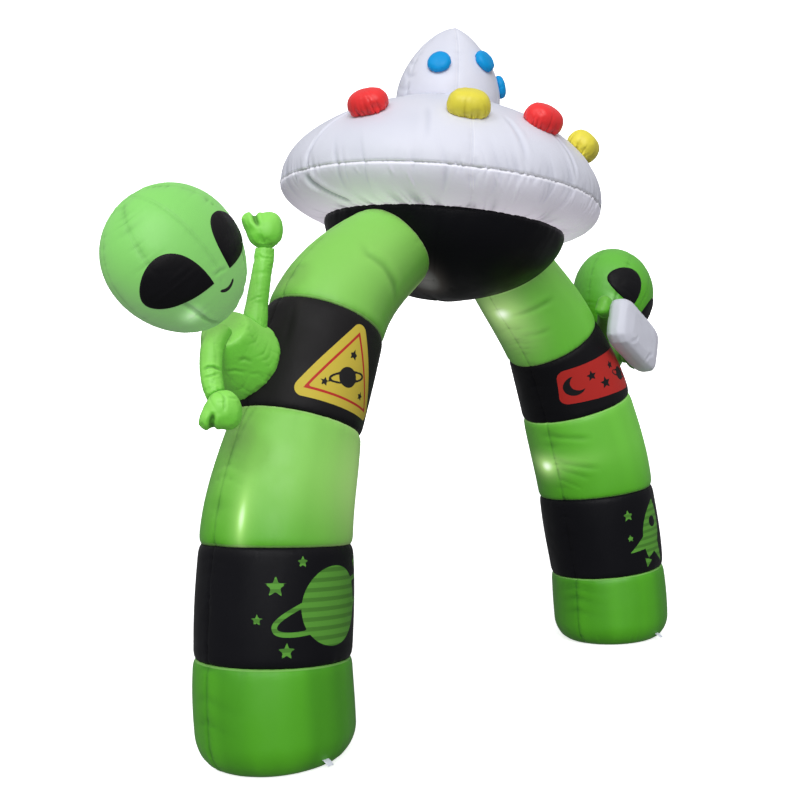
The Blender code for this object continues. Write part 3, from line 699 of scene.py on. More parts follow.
def relief(made, gap, thread, white):
    """Fine bumps: the weave, soft dents, pinches beside the seams, and the thread."""
    weave = made.maths('ADD', made.wave('X', WEAVE_SCALE), made.wave('Z', WEAVE_SCALE))
    normal = made.bump(weave, 0.0002, 0.25)
    normal = made.bump(made.noise(11.0, 4.0, (1.0, 1.0, 0.45), 0.45), 0.0025, 0.55, normal)
    pinch = made.maths('MULTIPLY', made.noise(70.0), made.ramp(gap, 0.0, 0.045, 1.0, 0.0))
    normal = made.bump(pinch, 0.0022, 0.6, normal)
    raised = made.maths('SUBTRACT', thread, made.ramp(gap, 0.0, 0.0022, 1.0, 0.0))
    return made.bump(raised, 0.0006, 0.1 if white else 0.5, normal)


def glowing(made, base, colour, clear, share, mouth):
    """The light that comes through the cloth: pale from the sky, and in its own colour from inside."""
    sky = made.attribute("glow")
    tint = made.mix(GLOW_PALE, base, FACE_GLOW_TINT if mouth else GLOW_TINTS[colour])
    tint = made.mix(made.ramp(sky, *HOT_GLOW), tint, PALE_LIGHT)
    strength = made.maths('MULTIPLY', sky, share)
    if colour == "green":
        inner = made.attribute("inner")
        strength = made.maths('ADD', strength, inner)
        tint = made.mix(made.maths('DIVIDE', inner, made.maths('ADD', strength, 0.0001)), tint, INNER_GLOW_TINT)
    made.shader(Emission_Color=tint, Emission_Strength=made.maths('MULTIPLY', strength, clear))


def cloth_material(name, colour, inks=(), roughness=0.42, glow=0.0, shine=0.4, mouth=False):
    """Coated nylon: a fine weave, stitched seams, shade in the folds, and prints where a piece has them."""
    made = Nodes(name)
    lit, deep = COLOURS[colour]
    gap = made.attribute("seam_gap")
    # cloud is tone that differs at random; the painted shade of the folds is added to it, and the sum moves
    # the colour from the lit cloth to its shaded copy
    cloud = made.maths('MULTIPLY_ADD', made.noise(5.0, 3.0), 0.12, 0.09)
    shade = made.ramp(made.maths('ADD', cloud, made.attribute("fold")), 0.05, 0.95)
    base = printed(made, made.mix(shade, lit, deep), inks)
    clear = made.maths('SUBTRACT', 1.0, made.maths('MULTIPLY', shade, 0.75))
    if mouth:
        mask = smile(made)
        base = made.mix(mask, base, INKS["ink_black"])
        clear = made.maths('MULTIPLY', clear, made.maths('SUBTRACT', 1.0, mask))
    thread = thread_mask(made, gap)
    thread_tone = SEAM_HIGHLIGHT_AND_THREAD_TINTS["white"] if colour == "white" else tuple((a + b) / 2 for a, b in zip(deep, lit))
    base = made.mix(made.maths('MULTIPLY', thread, 0.8), base, thread_tone)
    # painted highlight: a pale line along each ring seam
    if colour in SEAM_HIGHLIGHT_AND_THREAD_TINTS:
        base = made.mix(made.ramp(made.attribute("seam_highlight"), 0.35, 0.6, 0.0, 0.55), base, SEAM_HIGHLIGHT_AND_THREAD_TINTS[colour])
    made.shader(Base_Color=base, Normal=relief(made, gap, thread, colour == "white"),
                Roughness=made.ramp(made.noise(9.0), 0.3, 0.7, roughness - 0.05, roughness + 0.07),
                Specular_IOR_Level=shine, Sheen_Weight=0.04 * shine, Sheen_Roughness=0.45, IOR=1.48)
    if glow:
        glowing(made, base, colour, clear, glow, mouth)
    return made.material


def plain_material(name, colour, strength):
    made = Nodes(name)
    made.shader(Base_Color=colour, Roughness=0.9, Specular_IOR_Level=0.1, Emission_Color=colour,
                Emission_Strength=strength)
    return made.material


# ------------------------------------------------------------------ legs
def leg_points(side, start, end, t, theta):
    """Points of a leg between two seams, as in the part. t and theta are arrays of one shape."""
    x0, z0, lean0, radius0 = start
    x1, z1, lean1, radius1 = end
    length = math.hypot(x1 - x0, z1 - z0)
    h00, h10 = 2 * t ** 3 - 3 * t ** 2 + 1, t ** 3 - 2 * t ** 2 + t
    h01, h11 = 3 * t ** 2 - 2 * t ** 3, t ** 3 - t ** 2
    (pull_x0, pull_z0), (pull_x1, pull_z1) = [
        (-math.sin(math.radians(a)) * length, math.cos(math.radians(a)) * length) for a in (lean0, lean1)]
    x = h00 * x0 + h10 * pull_x0 + h01 * x1 + h11 * pull_x1
    z = h00 * z0 + h10 * pull_z0 + h01 * z1 + h11 * pull_z1
    rounded = z0 == 0.0
    from_seam = (1 - t) * length if rounded else np.minimum(t, 1 - t) * length
    drawn = SEAM_DRAW * np.maximum(0.0, 1 - from_seam / SEAM_ZONE) ** 2
    radius = radius0 + (radius1 - radius0) * t + LEG_CROWN * 4 * t * (1 - t) - drawn
    if rounded:
        up = np.maximum(0.0, 1 - t * length / FOOT_ROUND_UP)
        radius = radius - FOOT_ROUND_OUT * (1 - np.sqrt(np.maximum(0.0, 1 - up * up)))
    lean = np.radians(lean0 + (lean1 - lean0) * t)
    out, deep = radius * np.cos(theta), radius * np.sin(theta)
    return np.stack([side * (x + out * np.cos(lean)), deep, z + out * np.sin(lean)], axis=-1)


def inside_bowl(points, saucer):
    """How far inside the saucer's underside each point is, as a share of its size. Above 0 is inside."""
    local = (points - np.array(saucer.translation)) @ np.array(saucer.to_3x3())
    off_x, off_y = sway(local[..., 2])
    radius, height = np.hypot(local[..., 0] - off_x, local[..., 1] - off_y), local[..., 2]
    low = np.where(height < 0, np.abs(height) / BOWL_DEPTH, 0.0)
    return 1 - (radius / BOWL_RADIUS) ** BOWL_ROUNDNESS - low ** BOWL_ROUNDNESS


def bowl_entry(side, start, end, theta, saucer):
    """Where each upright line of the top panel reaches the bowl, as a share of the panel."""
    t = np.linspace(0.0, 1.0, 600)
    grid_t, grid_theta = np.meshgrid(t, theta, indexing="ij")
    inside = inside_bowl(leg_points(side, start, end, grid_t, grid_theta), saucer)
    entry = np.ones(len(theta))
    for k in range(len(theta)):
        column = inside[:, k]
        if (column > 0).any():
            n = max(int((column > 0).argmax()), 1)
            entry[k] = t[n - 1] + (t[n] - t[n - 1]) * column[n - 1] / (column[n - 1] - column[n])
    return entry


def leg_theta(side, azimuth):
    """Angle round a ring of the part for an azimuth, in degrees, from the front towards +X."""
    azimuth = np.radians(azimuth)
    return np.arctan2(-np.cos(azimuth), side * np.sin(azimuth))


def planet_badge(x, y):
    """A yellow rounded triangle with a red line, a ringed planet and stars."""
    outer = polygon_edge(x, y, [(-0.158, -0.128), (0.158, -0.128), (0.0, 0.15)], 0.032)
    marks = joined(disc_edge(x, y, (0.0, -0.04), 0.04),
                   ring_edge(x, y, (0.0, -0.04), 0.078, 0.02, 24, 0.0045),
                   stars_edge(x, y, ((0.0, 0.052), 0.024), ((-0.088, -0.088), 0.02), ((0.086, -0.086), 0.02)))
    return {"ink_yellow": outer, "ink_red": np.abs(outer + 0.036) - 0.0048, "ink_black": marks}


def moon_patch(x, y):
    """A red rounded patch with a black moon, stars and a planet."""
    u, v = turned(x, y, 9)
    red = np.hypot(np.maximum(np.abs(u) - 0.18, 0), np.maximum(np.abs(v) - 0.058, 0)) - 0.046
    moon = np.maximum(disc_edge(u, v, (-0.145, 0.0), 0.058), -disc_edge(u, v, (-0.118, 0.016), 0.048))
    marks = joined(moon, disc_edge(u, v, (0.15, -0.022), 0.034),
                   ring_edge(u, v, (0.15, -0.022), 0.066, 0.016, -20, 0.004),
                   stars_edge(u, v, ((-0.05, 0.028), 0.032), ((0.02, -0.034), 0.036), ((0.085, 0.04), 0.026)))
    return {"ink_red": red, "ink_black": marks}


def striped_planet(x, y):
    """A big striped planet with a ring, and stars round it."""
    stars = stars_edge(x, y, ((-0.205, 0.075), 0.04), ((-0.16, -0.148), 0.032), ((0.195, 0.145), 0.028),
                       ((-0.11, 0.16), 0.024), ((0.225, -0.125), 0.024), ((-0.265, -0.04), 0.022))
    planet, ring = disc_edge(x, y, (0.03, 0.0), 0.142), ring_edge(x, y, (0.03, 0.0), 0.245, 0.058, 17, 0.009)
    return {"ink_green": joined(planet, ring, stars)}


def rocket(x, y):
    """A rocket among stars."""
    x, y = x / 1.25, y / 1.25
    u, v = turned(x, y, 20)
    body = np.maximum(disc_edge(u, v, (-0.11, 0.0), 0.166), disc_edge(u, v, (0.11, 0.0), 0.166))
    fins = [polygon_edge(u, v, [(0.046 * way, -0.035), (0.1 * way, -0.125), (0.03 * way, -0.092)])
            for way in (-1, 1)]
    flame = polygon_edge(u, v, [(-0.022, -0.13), (0.022, -0.13), (0.0, -0.165)])
    green = np.maximum(joined(body, flame, *fins), -disc_edge(u, v, (0.0, 0.03), 0.023))
    stars = stars_edge(x, y, ((-0.12, 0.075), 0.026), ((0.115, 0.11), 0.022), ((0.145, -0.03), 0.028),
                       ((-0.125, -0.02), 0.018))
    return {"ink_green": joined(green, stars) * 1.25}


LEG_PRINTS = {
    # leg, panel: drawing, share and azimuth of its middle
    ("left", "upper_band"): (planet_badge, 0.49, -3.0),
    ("right", "upper_band"): (moon_patch, 0.46, -17.0),
    ("left", "lower_band"): (striped_planet, 0.5, 2.0),
    ("right", "lower_band"): (rocket, 0.52, 2.0),
}


def leg_grid(name, panel, colour, start, end, length, saucer):
    """The share of the way up a panel and the angle round it, for each of its points."""
    columns, row = LEG_MESH[colour]
    theta = np.linspace(0, TURN, columns, endpoint=False)
    if (name, panel) in LEG_PRINTS:
        theta = theta + PRINT_CROWDING * np.sin(theta)
        theta = theta + leg_theta(SIDES[name], LEG_PRINTS[name, panel][2]) + math.pi
    rows = int(length / row)
    share = np.linspace(0, 1, rows)
    if panel == "foot":
        share = np.concatenate([np.linspace(0, FOOT_ROUND_SHARE, FOOT_ROUND_ROWS)[:-1],
                                np.linspace(FOOT_ROUND_SHARE, 1, rows)])
    t, angle = np.meshgrid(share, theta, indexing="ij")
    if panel == "top":
        t = t * bowl_entry(SIDES[name], start, end, theta, saucer)[None, :]
    return t, angle


def print_notes(where, azimuth, up, radius, length):
    """How far each point is outside the edge of each ink, and its height on the print."""
    drawing, at_t, at_azimuth = LEG_PRINTS[where]
    y = up - at_t * length
    inks = drawing((azimuth - math.radians(at_azimuth)) * radius, y)
    notes = {ink: np.where(np.abs(azimuth) < PRINT_FRONT, far, 0.5) for ink, far in inks.items()}
    return {"print_up": y, **notes}


def build_leg_panel(name, k, panel, colour, saucer, materials):
    side, where = SIDES[name], (name, panel)
    start, end = LEG_SEAMS[name][k:k + 2]
    length = math.hypot(end[0] - start[0], end[1] - start[1])
    radius = (start[3] + end[3]) / 2
    t, angle = leg_grid(name, panel, colour, start, end, length, saucer)
    points = leg_points(side, start, end, t, angle)
    azimuth = np.arctan2(side * np.cos(angle), -np.sin(angle))
    up, run = t * length, (azimuth + math.pi) * radius
    high_gap = (t[-1:, :] - t) * length
    low_gap = np.full_like(t, FAR_OFF) if panel == "foot" else up
    ring_gap = np.minimum(low_gap, high_gap)
    turn = np.abs(np.remainder(np.degrees(azimuth) - LEG_UPRIGHT_SEAM + 90, 180) - 90)
    side_gap, side_run = np.radians(turn) * radius, up + k
    seed = 10 * k + (3 if side > 0 else 0)
    period, pitch = whole_pitch(radius, LEG_PUCKER_PITCH)
    height = (seam_height(run, low_gap, seed + 1, pitch, period=period, **LEG_RING_SEAM)
              + seam_height(run, high_gap, seed + 2, pitch, period=period, **LEG_RING_SEAM)
              + seam_height(side_run, side_gap, seed + 5, **LEG_SIDE_SEAM))
    wave = wander_2d(run / 0.1, up / 0.4, seed + 7, round(TURN * radius / 0.1))
    wave = LEG_WAVE * wave * np.clip(ring_gap / 0.05, 0, 1)
    height += wave
    for path, depth, width in LEG_CREASES.get(where, ()):
        path_t, path_azimuth = dense(path).T
        way = leg_points(side, start, end, path_t, leg_theta(side, path_azimuth))
        height += crease_height(points.reshape(-1, 3), way, depth, width).reshape(t.shape)
    shade = LEG_SHADE * wander(run / LEG_BAND, seed + 13, round(TURN * radius / LEG_BAND))
    if panel == "foot":
        height += FOOT_FOLD * folds(run, points[..., 2], seed + 9, 0.03, 0.06)
        height *= np.clip(points[..., 2] / 0.03, 0, 1)
        plain, at_sides, streak, wide = FOOT_SHADE
        shade += plain + at_sides * (1 - np.exp(-(off_by(azimuth, streak) / math.radians(wide)) ** 2))
    points = points + grid_normals(points) * height[..., None]
    points[..., 2] = np.maximum(points[..., 2], 0.0)
    near_side = side_gap < ring_gap
    # painted highlight: a pale line along each ring seam
    # painted shade: darker colour in the valleys of the folds, in the faint upright bands and at the foot's
    # sides, lighter at the foot's middle streak
    notes = dict(seam_gap=np.where(near_side, side_gap, ring_gap),
                 seam_run=np.where(near_side, side_run, run), seam_highlight=np.exp(-ring_gap / SEAM_HIGHLIGHT_WIDTH),
                 fold=np.clip(-(height - wave) / FOLD_DEPTH, -0.3, 0.5) + shade)
    if where in LEG_PRINTS:
        notes.update(print_notes(where, azimuth, up, radius, length))
    piece = grid_piece(f"{name}_{panel}_cloth", points, notes)
    glow = glow_at(vertices_of(piece), normals_of(piece), LEG_GLOW_WAY)
    for at_t, at_azimuth, wide, tall, strength in LEG_GLOWS.get(where, ()):
        far = (off_by(azimuth, at_azimuth) * radius / wide) ** 2 + ((t - at_t) * length / tall) ** 2
        glow[:-2] += strength * np.exp(-far).ravel()
    finish_piece(piece, f"leg_{name}_{panel}", materials.get(where, materials[colour]), glow)


# ------------------------------------------------------------------ saucer
def saucer_matrix():
    axis = Vector(SAUCER_AXIS).normalized()
    right = (Vector((1, 0, 0)) - axis * axis.x).normalized()
    turn = Matrix((right, axis.cross(right), axis)).transposed().to_4x4()
    return Matrix.Translation(SAUCER_CENTRE) @ turn


def curve(start, handles, end, t):
    a, (b, c), d = np.array(start), np.array(handles), np.array(end)
    t = t[:, None]
    return (1 - t) ** 3 * a + 3 * (1 - t) ** 2 * t * b + 3 * (1 - t) * t * t * c + t ** 3 * d


def sway(height):
    """How far the middle of the saucer is off its axis: not at all at the rim, the full shift in the bowl."""
    share = smooth(np.clip(1 - height / RIM_HEIGHT, 0.0, 1.0))
    return BOWL_SHIFT[0] * share, BOWL_SHIFT[1] * share


def even_profile(profile, step):
    """Points an even step apart along a profile given by many points."""
    far = np.concatenate([[0], np.cumsum(np.hypot(*np.diff(profile, axis=0).T))])
    places = np.linspace(0, far[-1], max(12, int(far[-1] / step)))
    return np.stack([np.interp(places, far, profile[:, k]) for k in (0, 1)], axis=1), places


def turned_piece(panel, profile, saucer, materials, colour, step, columns, seed, lobes=True,
                 ring_seams=(True, True), pucker=(0.07, 0.0035, 0.3), groove=0.003, creases=(),
                 pole_start=None, pole_end=None, glow=(0.0, 0.0)):
    """A turned panel of the saucer with its ring seams and its gore seams."""
    profile, along = even_profile(profile, step)
    azimuth = np.linspace(-math.pi, math.pi, columns, endpoint=False)
    rows, round_way = np.meshgrid(np.arange(len(profile)), azimuth, indexing="ij")
    r, h, far = profile[rows, 0], profile[rows, 1], along[rows]
    gore = math.radians(GORE_TURN)
    swell = np.abs(np.sin(GORES * (round_way - gore) / 2)) ** 0.6
    radius = r * (1 - GORE_DRAW * (1 - swell) * lobes)
    off_x, off_y = sway(h)
    points = np.stack([off_x + radius * np.sin(round_way), off_y - radius * np.cos(round_way), h], axis=-1)
    gore_gap = np.abs(np.remainder((round_way - gore) * GORES / TURN + 0.5, 1) - 0.5) * TURN / GORES * r
    biggest = profile[:, 0].max()
    run = (round_way + math.pi) * biggest
    period, pitch = whole_pitch(biggest, SAUCER_PUCKER_PITCH)
    reach, depth, slant = pucker
    ring_gap = np.full_like(far, FAR_OFF)
    height = np.zeros_like(far)
    for used, gap, k in ((ring_seams[0], far, 1), (ring_seams[1], along[-1] - far, 2)):
        if used:
            ring_gap = np.minimum(ring_gap, gap)
            height += seam_height(run, gap, seed + k, pitch, reach, depth, groove, slant, period)
    if lobes:
        height += seam_height(far + 5, gore_gap, seed + 5, **GORE_SEAM)
    wave = wander_2d(run / 0.16, far / 0.22, seed + 7, round(TURN * biggest / 0.16))
    height += SAUCER_WAVE * wave * np.clip(ring_gap / 0.05, 0, 1)
    for path, deep, width in creases:
        place, turn = dense(path).T
        k = np.clip(place, 0, 1) * (len(profile) - 1)
        r_at, h_at = (np.interp(k, np.arange(len(profile)), profile[:, n]) for n in (0, 1))
        turn = np.radians(turn)
        way = np.stack([r_at * np.sin(turn), -r_at * np.cos(turn), h_at], axis=-1)
        height += crease_height(points.reshape(-1, 3), way, deep, width).reshape(far.shape)
    points = points + grid_normals(points) * height[..., None]
    matrix = np.array(saucer)
    points = points @ matrix[:3, :3].T + matrix[:3, 3]
    near_gore = (gore_gap < ring_gap) & bool(lobes)
    # painted highlight: a pale line along each ring seam
    # painted shade: darker colour in the valleys of the folds and creases
    notes = dict(seam_gap=np.where(near_gore, gore_gap, ring_gap), seam_run=np.where(near_gore, far, run),
                 seam_highlight=np.exp(-ring_gap / SEAM_HIGHLIGHT_WIDTH), fold=np.clip(-height / FOLD_DEPTH, -0.3, 0.6))
    poles = [None if p is None else np.array(saucer @ Vector((*sway(p), p))) for p in (pole_start, pole_end)]
    piece = grid_piece(f"{panel}_cloth", points, notes, *poles)
    shown = np.interp(far, (0, along[-1]), glow)
    if panel == "bowl":
        at_turn, at_share, size, strength = BOWL_GLOW
        up = (far - at_share * along[-1]) / (1.6 * size)
        shown = strength * np.exp(-(off_by(round_way, at_turn) * r / size) ** 2 - up ** 2)
    finish_piece(piece, f"saucer_{panel}", materials[colour], np.concatenate([shown.ravel(), glow]))


def build_saucer(saucer, materials):
    t = np.linspace(0, 1, 400)
    power = 2 / BOWL_ROUNDNESS
    bowl = np.stack([BOWL_RADIUS * np.sin(t * math.pi / 2) ** power,
                     -BOWL_DEPTH * np.cos(t * math.pi / 2) ** power], axis=1)[6:]
    lower = curve((BOWL_RADIUS, 0.0), LOWER_CURVE, (RIM_RADIUS, RIM_HEIGHT), t)
    upper = curve((RIM_RADIUS, RIM_HEIGHT), UPPER_CURVE, (DOME_RADIUS, DOME_BASE), t)
    dome = curve((DOME_RADIUS, DOME_BASE), DOME_CURVE, (0.0, DOME_TOP), t)[:-6]
    ridges = tuple((((top, turn), (low, turn + 2)), *RIDGE) for turn, top, low in LOWER_RIDGES)
    turned_piece("bowl", bowl, saucer, materials, "black", 0.018, 260, 61, lobes=False,
                 ring_seams=(False, True), creases=BOWL_CREASES, pole_start=-BOWL_DEPTH)
    turned_piece("lower", lower, saucer, materials, "white", 0.012, SAUCER_COLUMNS, RIM_SEED - 2,
                 creases=LOWER_CREASES + ridges, pucker=(0.085, RIM_PUCKER_DEPTH, 0.3), groove=0.0,
                 glow=(0.52, 0.15))
    turned_piece("upper", upper, saucer, materials, "white", 0.0158, SAUCER_COLUMNS, RIM_SEED - 1,
                 creases=UPPER_CREASES, pucker=(0.075, RIM_PUCKER_DEPTH, 0.3), groove=0.0, glow=(0.06, 0.03))
    turned_piece("dome", dome, saucer, materials, "white", 0.011, 220, 91, ring_seams=(True, False),
                 creases=DOME_CREASES, pucker=(0.035, 0.0015, 0.0), pole_end=DOME_TOP, glow=(0.04, 0.06))


# ------------------------------------------------------------------ heads
def head_frame(side, lean, turn, nod):
    lean, turn, nod = (math.radians(v) for v in (lean, turn, nod))
    up = Vector((side * math.sin(lean), 0.0, math.cos(lean)))
    front = Vector((0.0, -1.0, 0.0))
    across = front.cross(up)
    front, across = (math.cos(turn) * front + math.sin(turn) * across,
                     math.cos(turn) * across - math.sin(turn) * front)
    up, front = (math.cos(nod) * up + math.sin(nod) * front, math.cos(nod) * front - math.sin(nod) * up)
    return Matrix((across, front, up)).transposed()


def head_height(local, seed):
    """Height of the head's cloth over the egg, at points in its own frame."""
    flat = local.reshape(-1, 3)
    azimuth = np.arctan2(flat[:, 1] / HEAD_DEPTH, flat[:, 0] / HEAD_WIDTH)
    radius = np.hypot(flat[:, 0], flat[:, 1])
    run = np.arccos(np.clip(flat[:, 2] / (HEAD_LENGTH / 2), -1, 1)) * HEAD_LENGTH / 2
    height = np.zeros(len(flat))
    nearest = np.full(len(flat), FAR_OFF)
    for k, (angle, depth, reach) in enumerate(HEAD_SEAMS):
        gap = np.abs(off_by(azimuth, angle)) * radius
        if angle == 90.0:
            gap = np.hypot(gap, np.maximum(0, MID_SEAM_END - flat[:, 2]))
        height += seam_height(run, gap, seed + 3 * k, HEAD_PITCH, reach, depth, HEAD_GROOVE)
        nearest = np.minimum(nearest, gap)
    for path, depth, width in HEAD_CREASES:
        height += crease_height(flat, path, depth, width)
    height *= np.clip(radius / 0.05, 0, 1)
    return [found.reshape(local.shape[:-1]) for found in (height, nearest, run)]


def egg_points(angle, round_way):
    egg = 1 + HEAD_EGG * np.cos(angle)
    return np.stack([HEAD_WIDTH / 2 * np.sin(angle) * egg * np.cos(round_way),
                     HEAD_DEPTH / 2 * np.sin(angle) * egg * np.sin(round_way),
                     HEAD_LENGTH / 2 * np.cos(angle)], axis=-1)


def face_point(across, up):
    """Points on the front of the egg and their normals."""
    def front_at(x, z):
        angle = np.arccos(np.clip(z / (HEAD_LENGTH / 2), -1, 1))
        egg = np.sin(angle) * (1 + HEAD_EGG * np.cos(angle))
        return HEAD_DEPTH / 2 * egg * np.sqrt(np.maximum(0, 1 - (x / (HEAD_WIDTH / 2 * egg)) ** 2))
    small = 0.001
    y = front_at(across, up)
    slope_x = (front_at(across + small, up) - front_at(across - small, up)) / (2 * small)
    slope_z = (front_at(across, up + small) - front_at(across, up - small)) / (2 * small)
    normals = np.stack([-slope_x, np.ones_like(y), -slope_z], axis=-1)
    return np.stack([across, y, up], axis=-1), normals / np.linalg.norm(normals, axis=-1, keepdims=True)


def build_eye(name, label, mirror, share, place, turn, seed, material):
    tip = np.array(EYE_TIP)
    top = tip + (np.array(EYE_TOP) - tip) * share
    middle, half = (tip + top) / 2, (top - tip) / 2
    square = np.array((half[1], -half[0])) / np.linalg.norm(half) * EYE_HALF_WIDTH / 0.77
    a = np.linspace(0, TURN, EYE_COLUMNS, endpoint=False)
    outline = middle + half * np.cos(a)[:, None] + square * (np.sin(a) * np.abs(np.cos(a / 2)))[:, None]
    centre = outline.mean(axis=0)
    rings = np.linspace(0.04, 1.0, EYE_RINGS)
    flat = centre + rings[:, None, None] * (outline - centre)[None]
    base, normals = face_point(mirror * flat[..., 0], flat[..., 1])
    height = head_height(base, seed)[0]
    edge = (1 - rings)[:, None] * 0.1
    rise = np.maximum(height, -0.0003) + EYE_THICK + EYE_CROWN * (1 - np.exp(-edge / 0.012))
    rise = rise + 0.0004 * wander_2d(flat[..., 0] / 0.03, flat[..., 1] / 0.05, seed + 40)
    under = base + normals * (height - EYE_SUNK)[..., None]
    points = np.concatenate([base + normals * rise[..., None], under[::-1]])
    gap = np.concatenate([edge + 0 * height, (edge + 0 * height)[::-1]])
    run = np.concatenate([np.broadcast_to(a * 0.09, height.shape)] * 2)
    points = points @ np.array(turn).T + np.array(place)
    piece = grid_piece(f"{name}_eye_{label}_cloth", points,
                       dict(seam_gap=gap, seam_run=run, fold=np.zeros_like(gap)))
    finish_piece(piece, f"figure_{name}_eye_{label}", material)


def build_head(name, side, head, lean, turn, nod, eyes, materials):
    matrix = head_frame(side, lean, turn, nod)
    seed = 200 + 60 * side
    angle, round_way = np.meshgrid(np.linspace(0.02, math.pi - 0.02, HEAD_ROWS),
                                   np.linspace(0, TURN, HEAD_COLUMNS, endpoint=False), indexing="ij")
    local = egg_points(angle, round_way)
    height, gap, run = head_height(local, seed)
    points = local + grid_normals(local) * height[..., None]
    points = points @ np.array(matrix).T + np.array(head)
    # painted shade: darker colour in the valleys of the folds and seams
    notes = dict(seam_gap=gap, seam_run=run, fold=np.clip(-height / HEAD_FOLD_DEPTH, -0.2, 0.35),
                 face_across=local[..., 0], face_up=np.where(local[..., 1] > 0, local[..., 2], 1.0))
    piece = grid_piece(f"{name}_head_cloth", points, notes)
    sky, more = HEAD_GLOW[name]
    normals = normals_of(piece)
    at_front = 0.3 + 0.7 * np.clip(1 + normals @ np.array(matrix)[:, 1], 0, 1)
    glow = np.maximum(sky * glow_at(vertices_of(piece), normals) + more * at_front, 0)
    for at, size, strength in HEAD_GLOWS:
        far = np.linalg.norm(local - np.array(at), axis=-1).ravel()
        glow[:-2] += strength * np.exp(-(far / size) ** 2)
    finish_piece(piece, f"figure_{name}_head", materials["face"], glow)
    for label, mirror, share in (("outer", 1, eyes[0]), ("inner", -1, eyes[1])):
        build_eye(name, label, mirror, share, head, matrix, seed, materials["black"])


# ------------------------------------------------------------------ small pieces from the frame
def in_arch(source):
    """Where a solid of the frame stands in the arch's own coordinates."""
    return Matrix.Translation(-Vector(MIDDLE_OF_FEET)) @ source.matrix_world


def surface_tree(mesh, place=Matrix()):
    return BVHTree.FromPolygons([place @ v.co for v in mesh.vertices], [p.vertices[:] for p in mesh.polygons])


def keep_modified(piece, graph):
    """Make what its modifiers give the piece's own mesh."""
    mesh = bpy.data.meshes.new_from_object(piece.evaluated_get(graph))
    piece.modifiers.clear()
    piece.data = mesh
    mesh.shade_smooth()


def remeshed(node, name, voxel, rounding):
    """A finer copy of a CAD solid, in the arch's own place, with its edges rounded."""
    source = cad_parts[node]
    made = bpy.data.objects.new(name, source.data.copy())
    bpy.context.collection.objects.link(made)
    made.matrix_world = source.matrix_world
    made.data.materials.clear()
    fine = made.modifiers.new("fine", 'REMESH')
    fine.mode = 'VOXEL'
    fine.voxel_size = voxel
    soft = made.modifiers.new("round", 'SMOOTH')
    soft.factor = 0.5
    soft.iterations = rounding
    keep_modified(made, bpy.context.evaluated_depsgraph_get())
    made.data.transform(in_arch(source))
    made.matrix_world = Matrix.Identity(4)
    return made


def finer(piece):
    piece.modifiers.new("finer", 'SUBSURF').levels = 1
    keep_modified(piece, bpy.context.evaluated_depsgraph_get())


def seam_gaps(points, neighbour):
    """Distance from each point to a CAD neighbour, how far round their seam it is, and the seam's radius."""
    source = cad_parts[neighbour]
    tree = surface_tree(source.data, in_arch(source))
    found = (tree.find_nearest(Vector(p), SEAM_SEARCH)[3] for p in points.tolist())
    gap = np.array([SEAM_SEARCH if far is None else far for far in found])
    near = points[gap < gap.min() + 0.01]
    middle = near.mean(axis=0)
    axis = points.mean(axis=0) - middle
    axis /= np.linalg.norm(axis)
    first = np.cross(axis, (0.31, 0.55, 0.77))      # any way that is not along the axis
    first /= np.linalg.norm(first)
    around = np.arctan2((points - middle) @ np.cross(axis, first), (points - middle) @ first)
    size = np.linalg.norm(near - middle, axis=1).max()
    return gap, (around + math.pi) * size, size


def puff(held):
    """Blow pieces up as cloth that is a little too big. held gives each one's distances from its seams."""
    scene = bpy.context.scene
    starts = {piece: vertices_of(piece) for piece in held}
    for piece, gap in held.items():
        group = piece.vertex_groups.new(name="held")
        weight = np.clip(1.4 - gap / PUFF_HELD, 0, 1)
        for k in np.nonzero(weight > 0.01)[0].tolist():
            group.add([k], float(weight[k]), 'REPLACE')
        cloth = piece.modifiers.new("cloth", 'CLOTH')
        for key, value in PUFF.items():
            setattr(cloth.settings, key, value)
        cloth.settings.vertex_group_mass = "held"
        cloth.settings.effector_weights.gravity = 0.0
        cloth.collision_settings.use_collision = False
        cloth.collision_settings.use_self_collision = False
    for step in range(1, PUFF_STEPS + 1):
        scene.frame_set(step)
    graph = bpy.context.evaluated_depsgraph_get()
    for piece, gap in held.items():
        keep_modified(piece, graph)
        moved = vertices_of(piece) - starts[piece]
        far = np.linalg.norm(moved, axis=1)
        most = ARM_PUFF_LIMIT if "_arm" in piece.name else PUFF_LIMIT
        limit = most * np.clip((gap - 0.002) / 0.025, 0, 1)
        moved *= (np.minimum(far, limit) / np.maximum(far, 1e-9))[:, None]
        piece.data.vertices.foreach_set("co", (starts[piece] + moved).ravel())
        piece.data.update()
        piece.vertex_groups.clear()
    scene.frame_set(1)


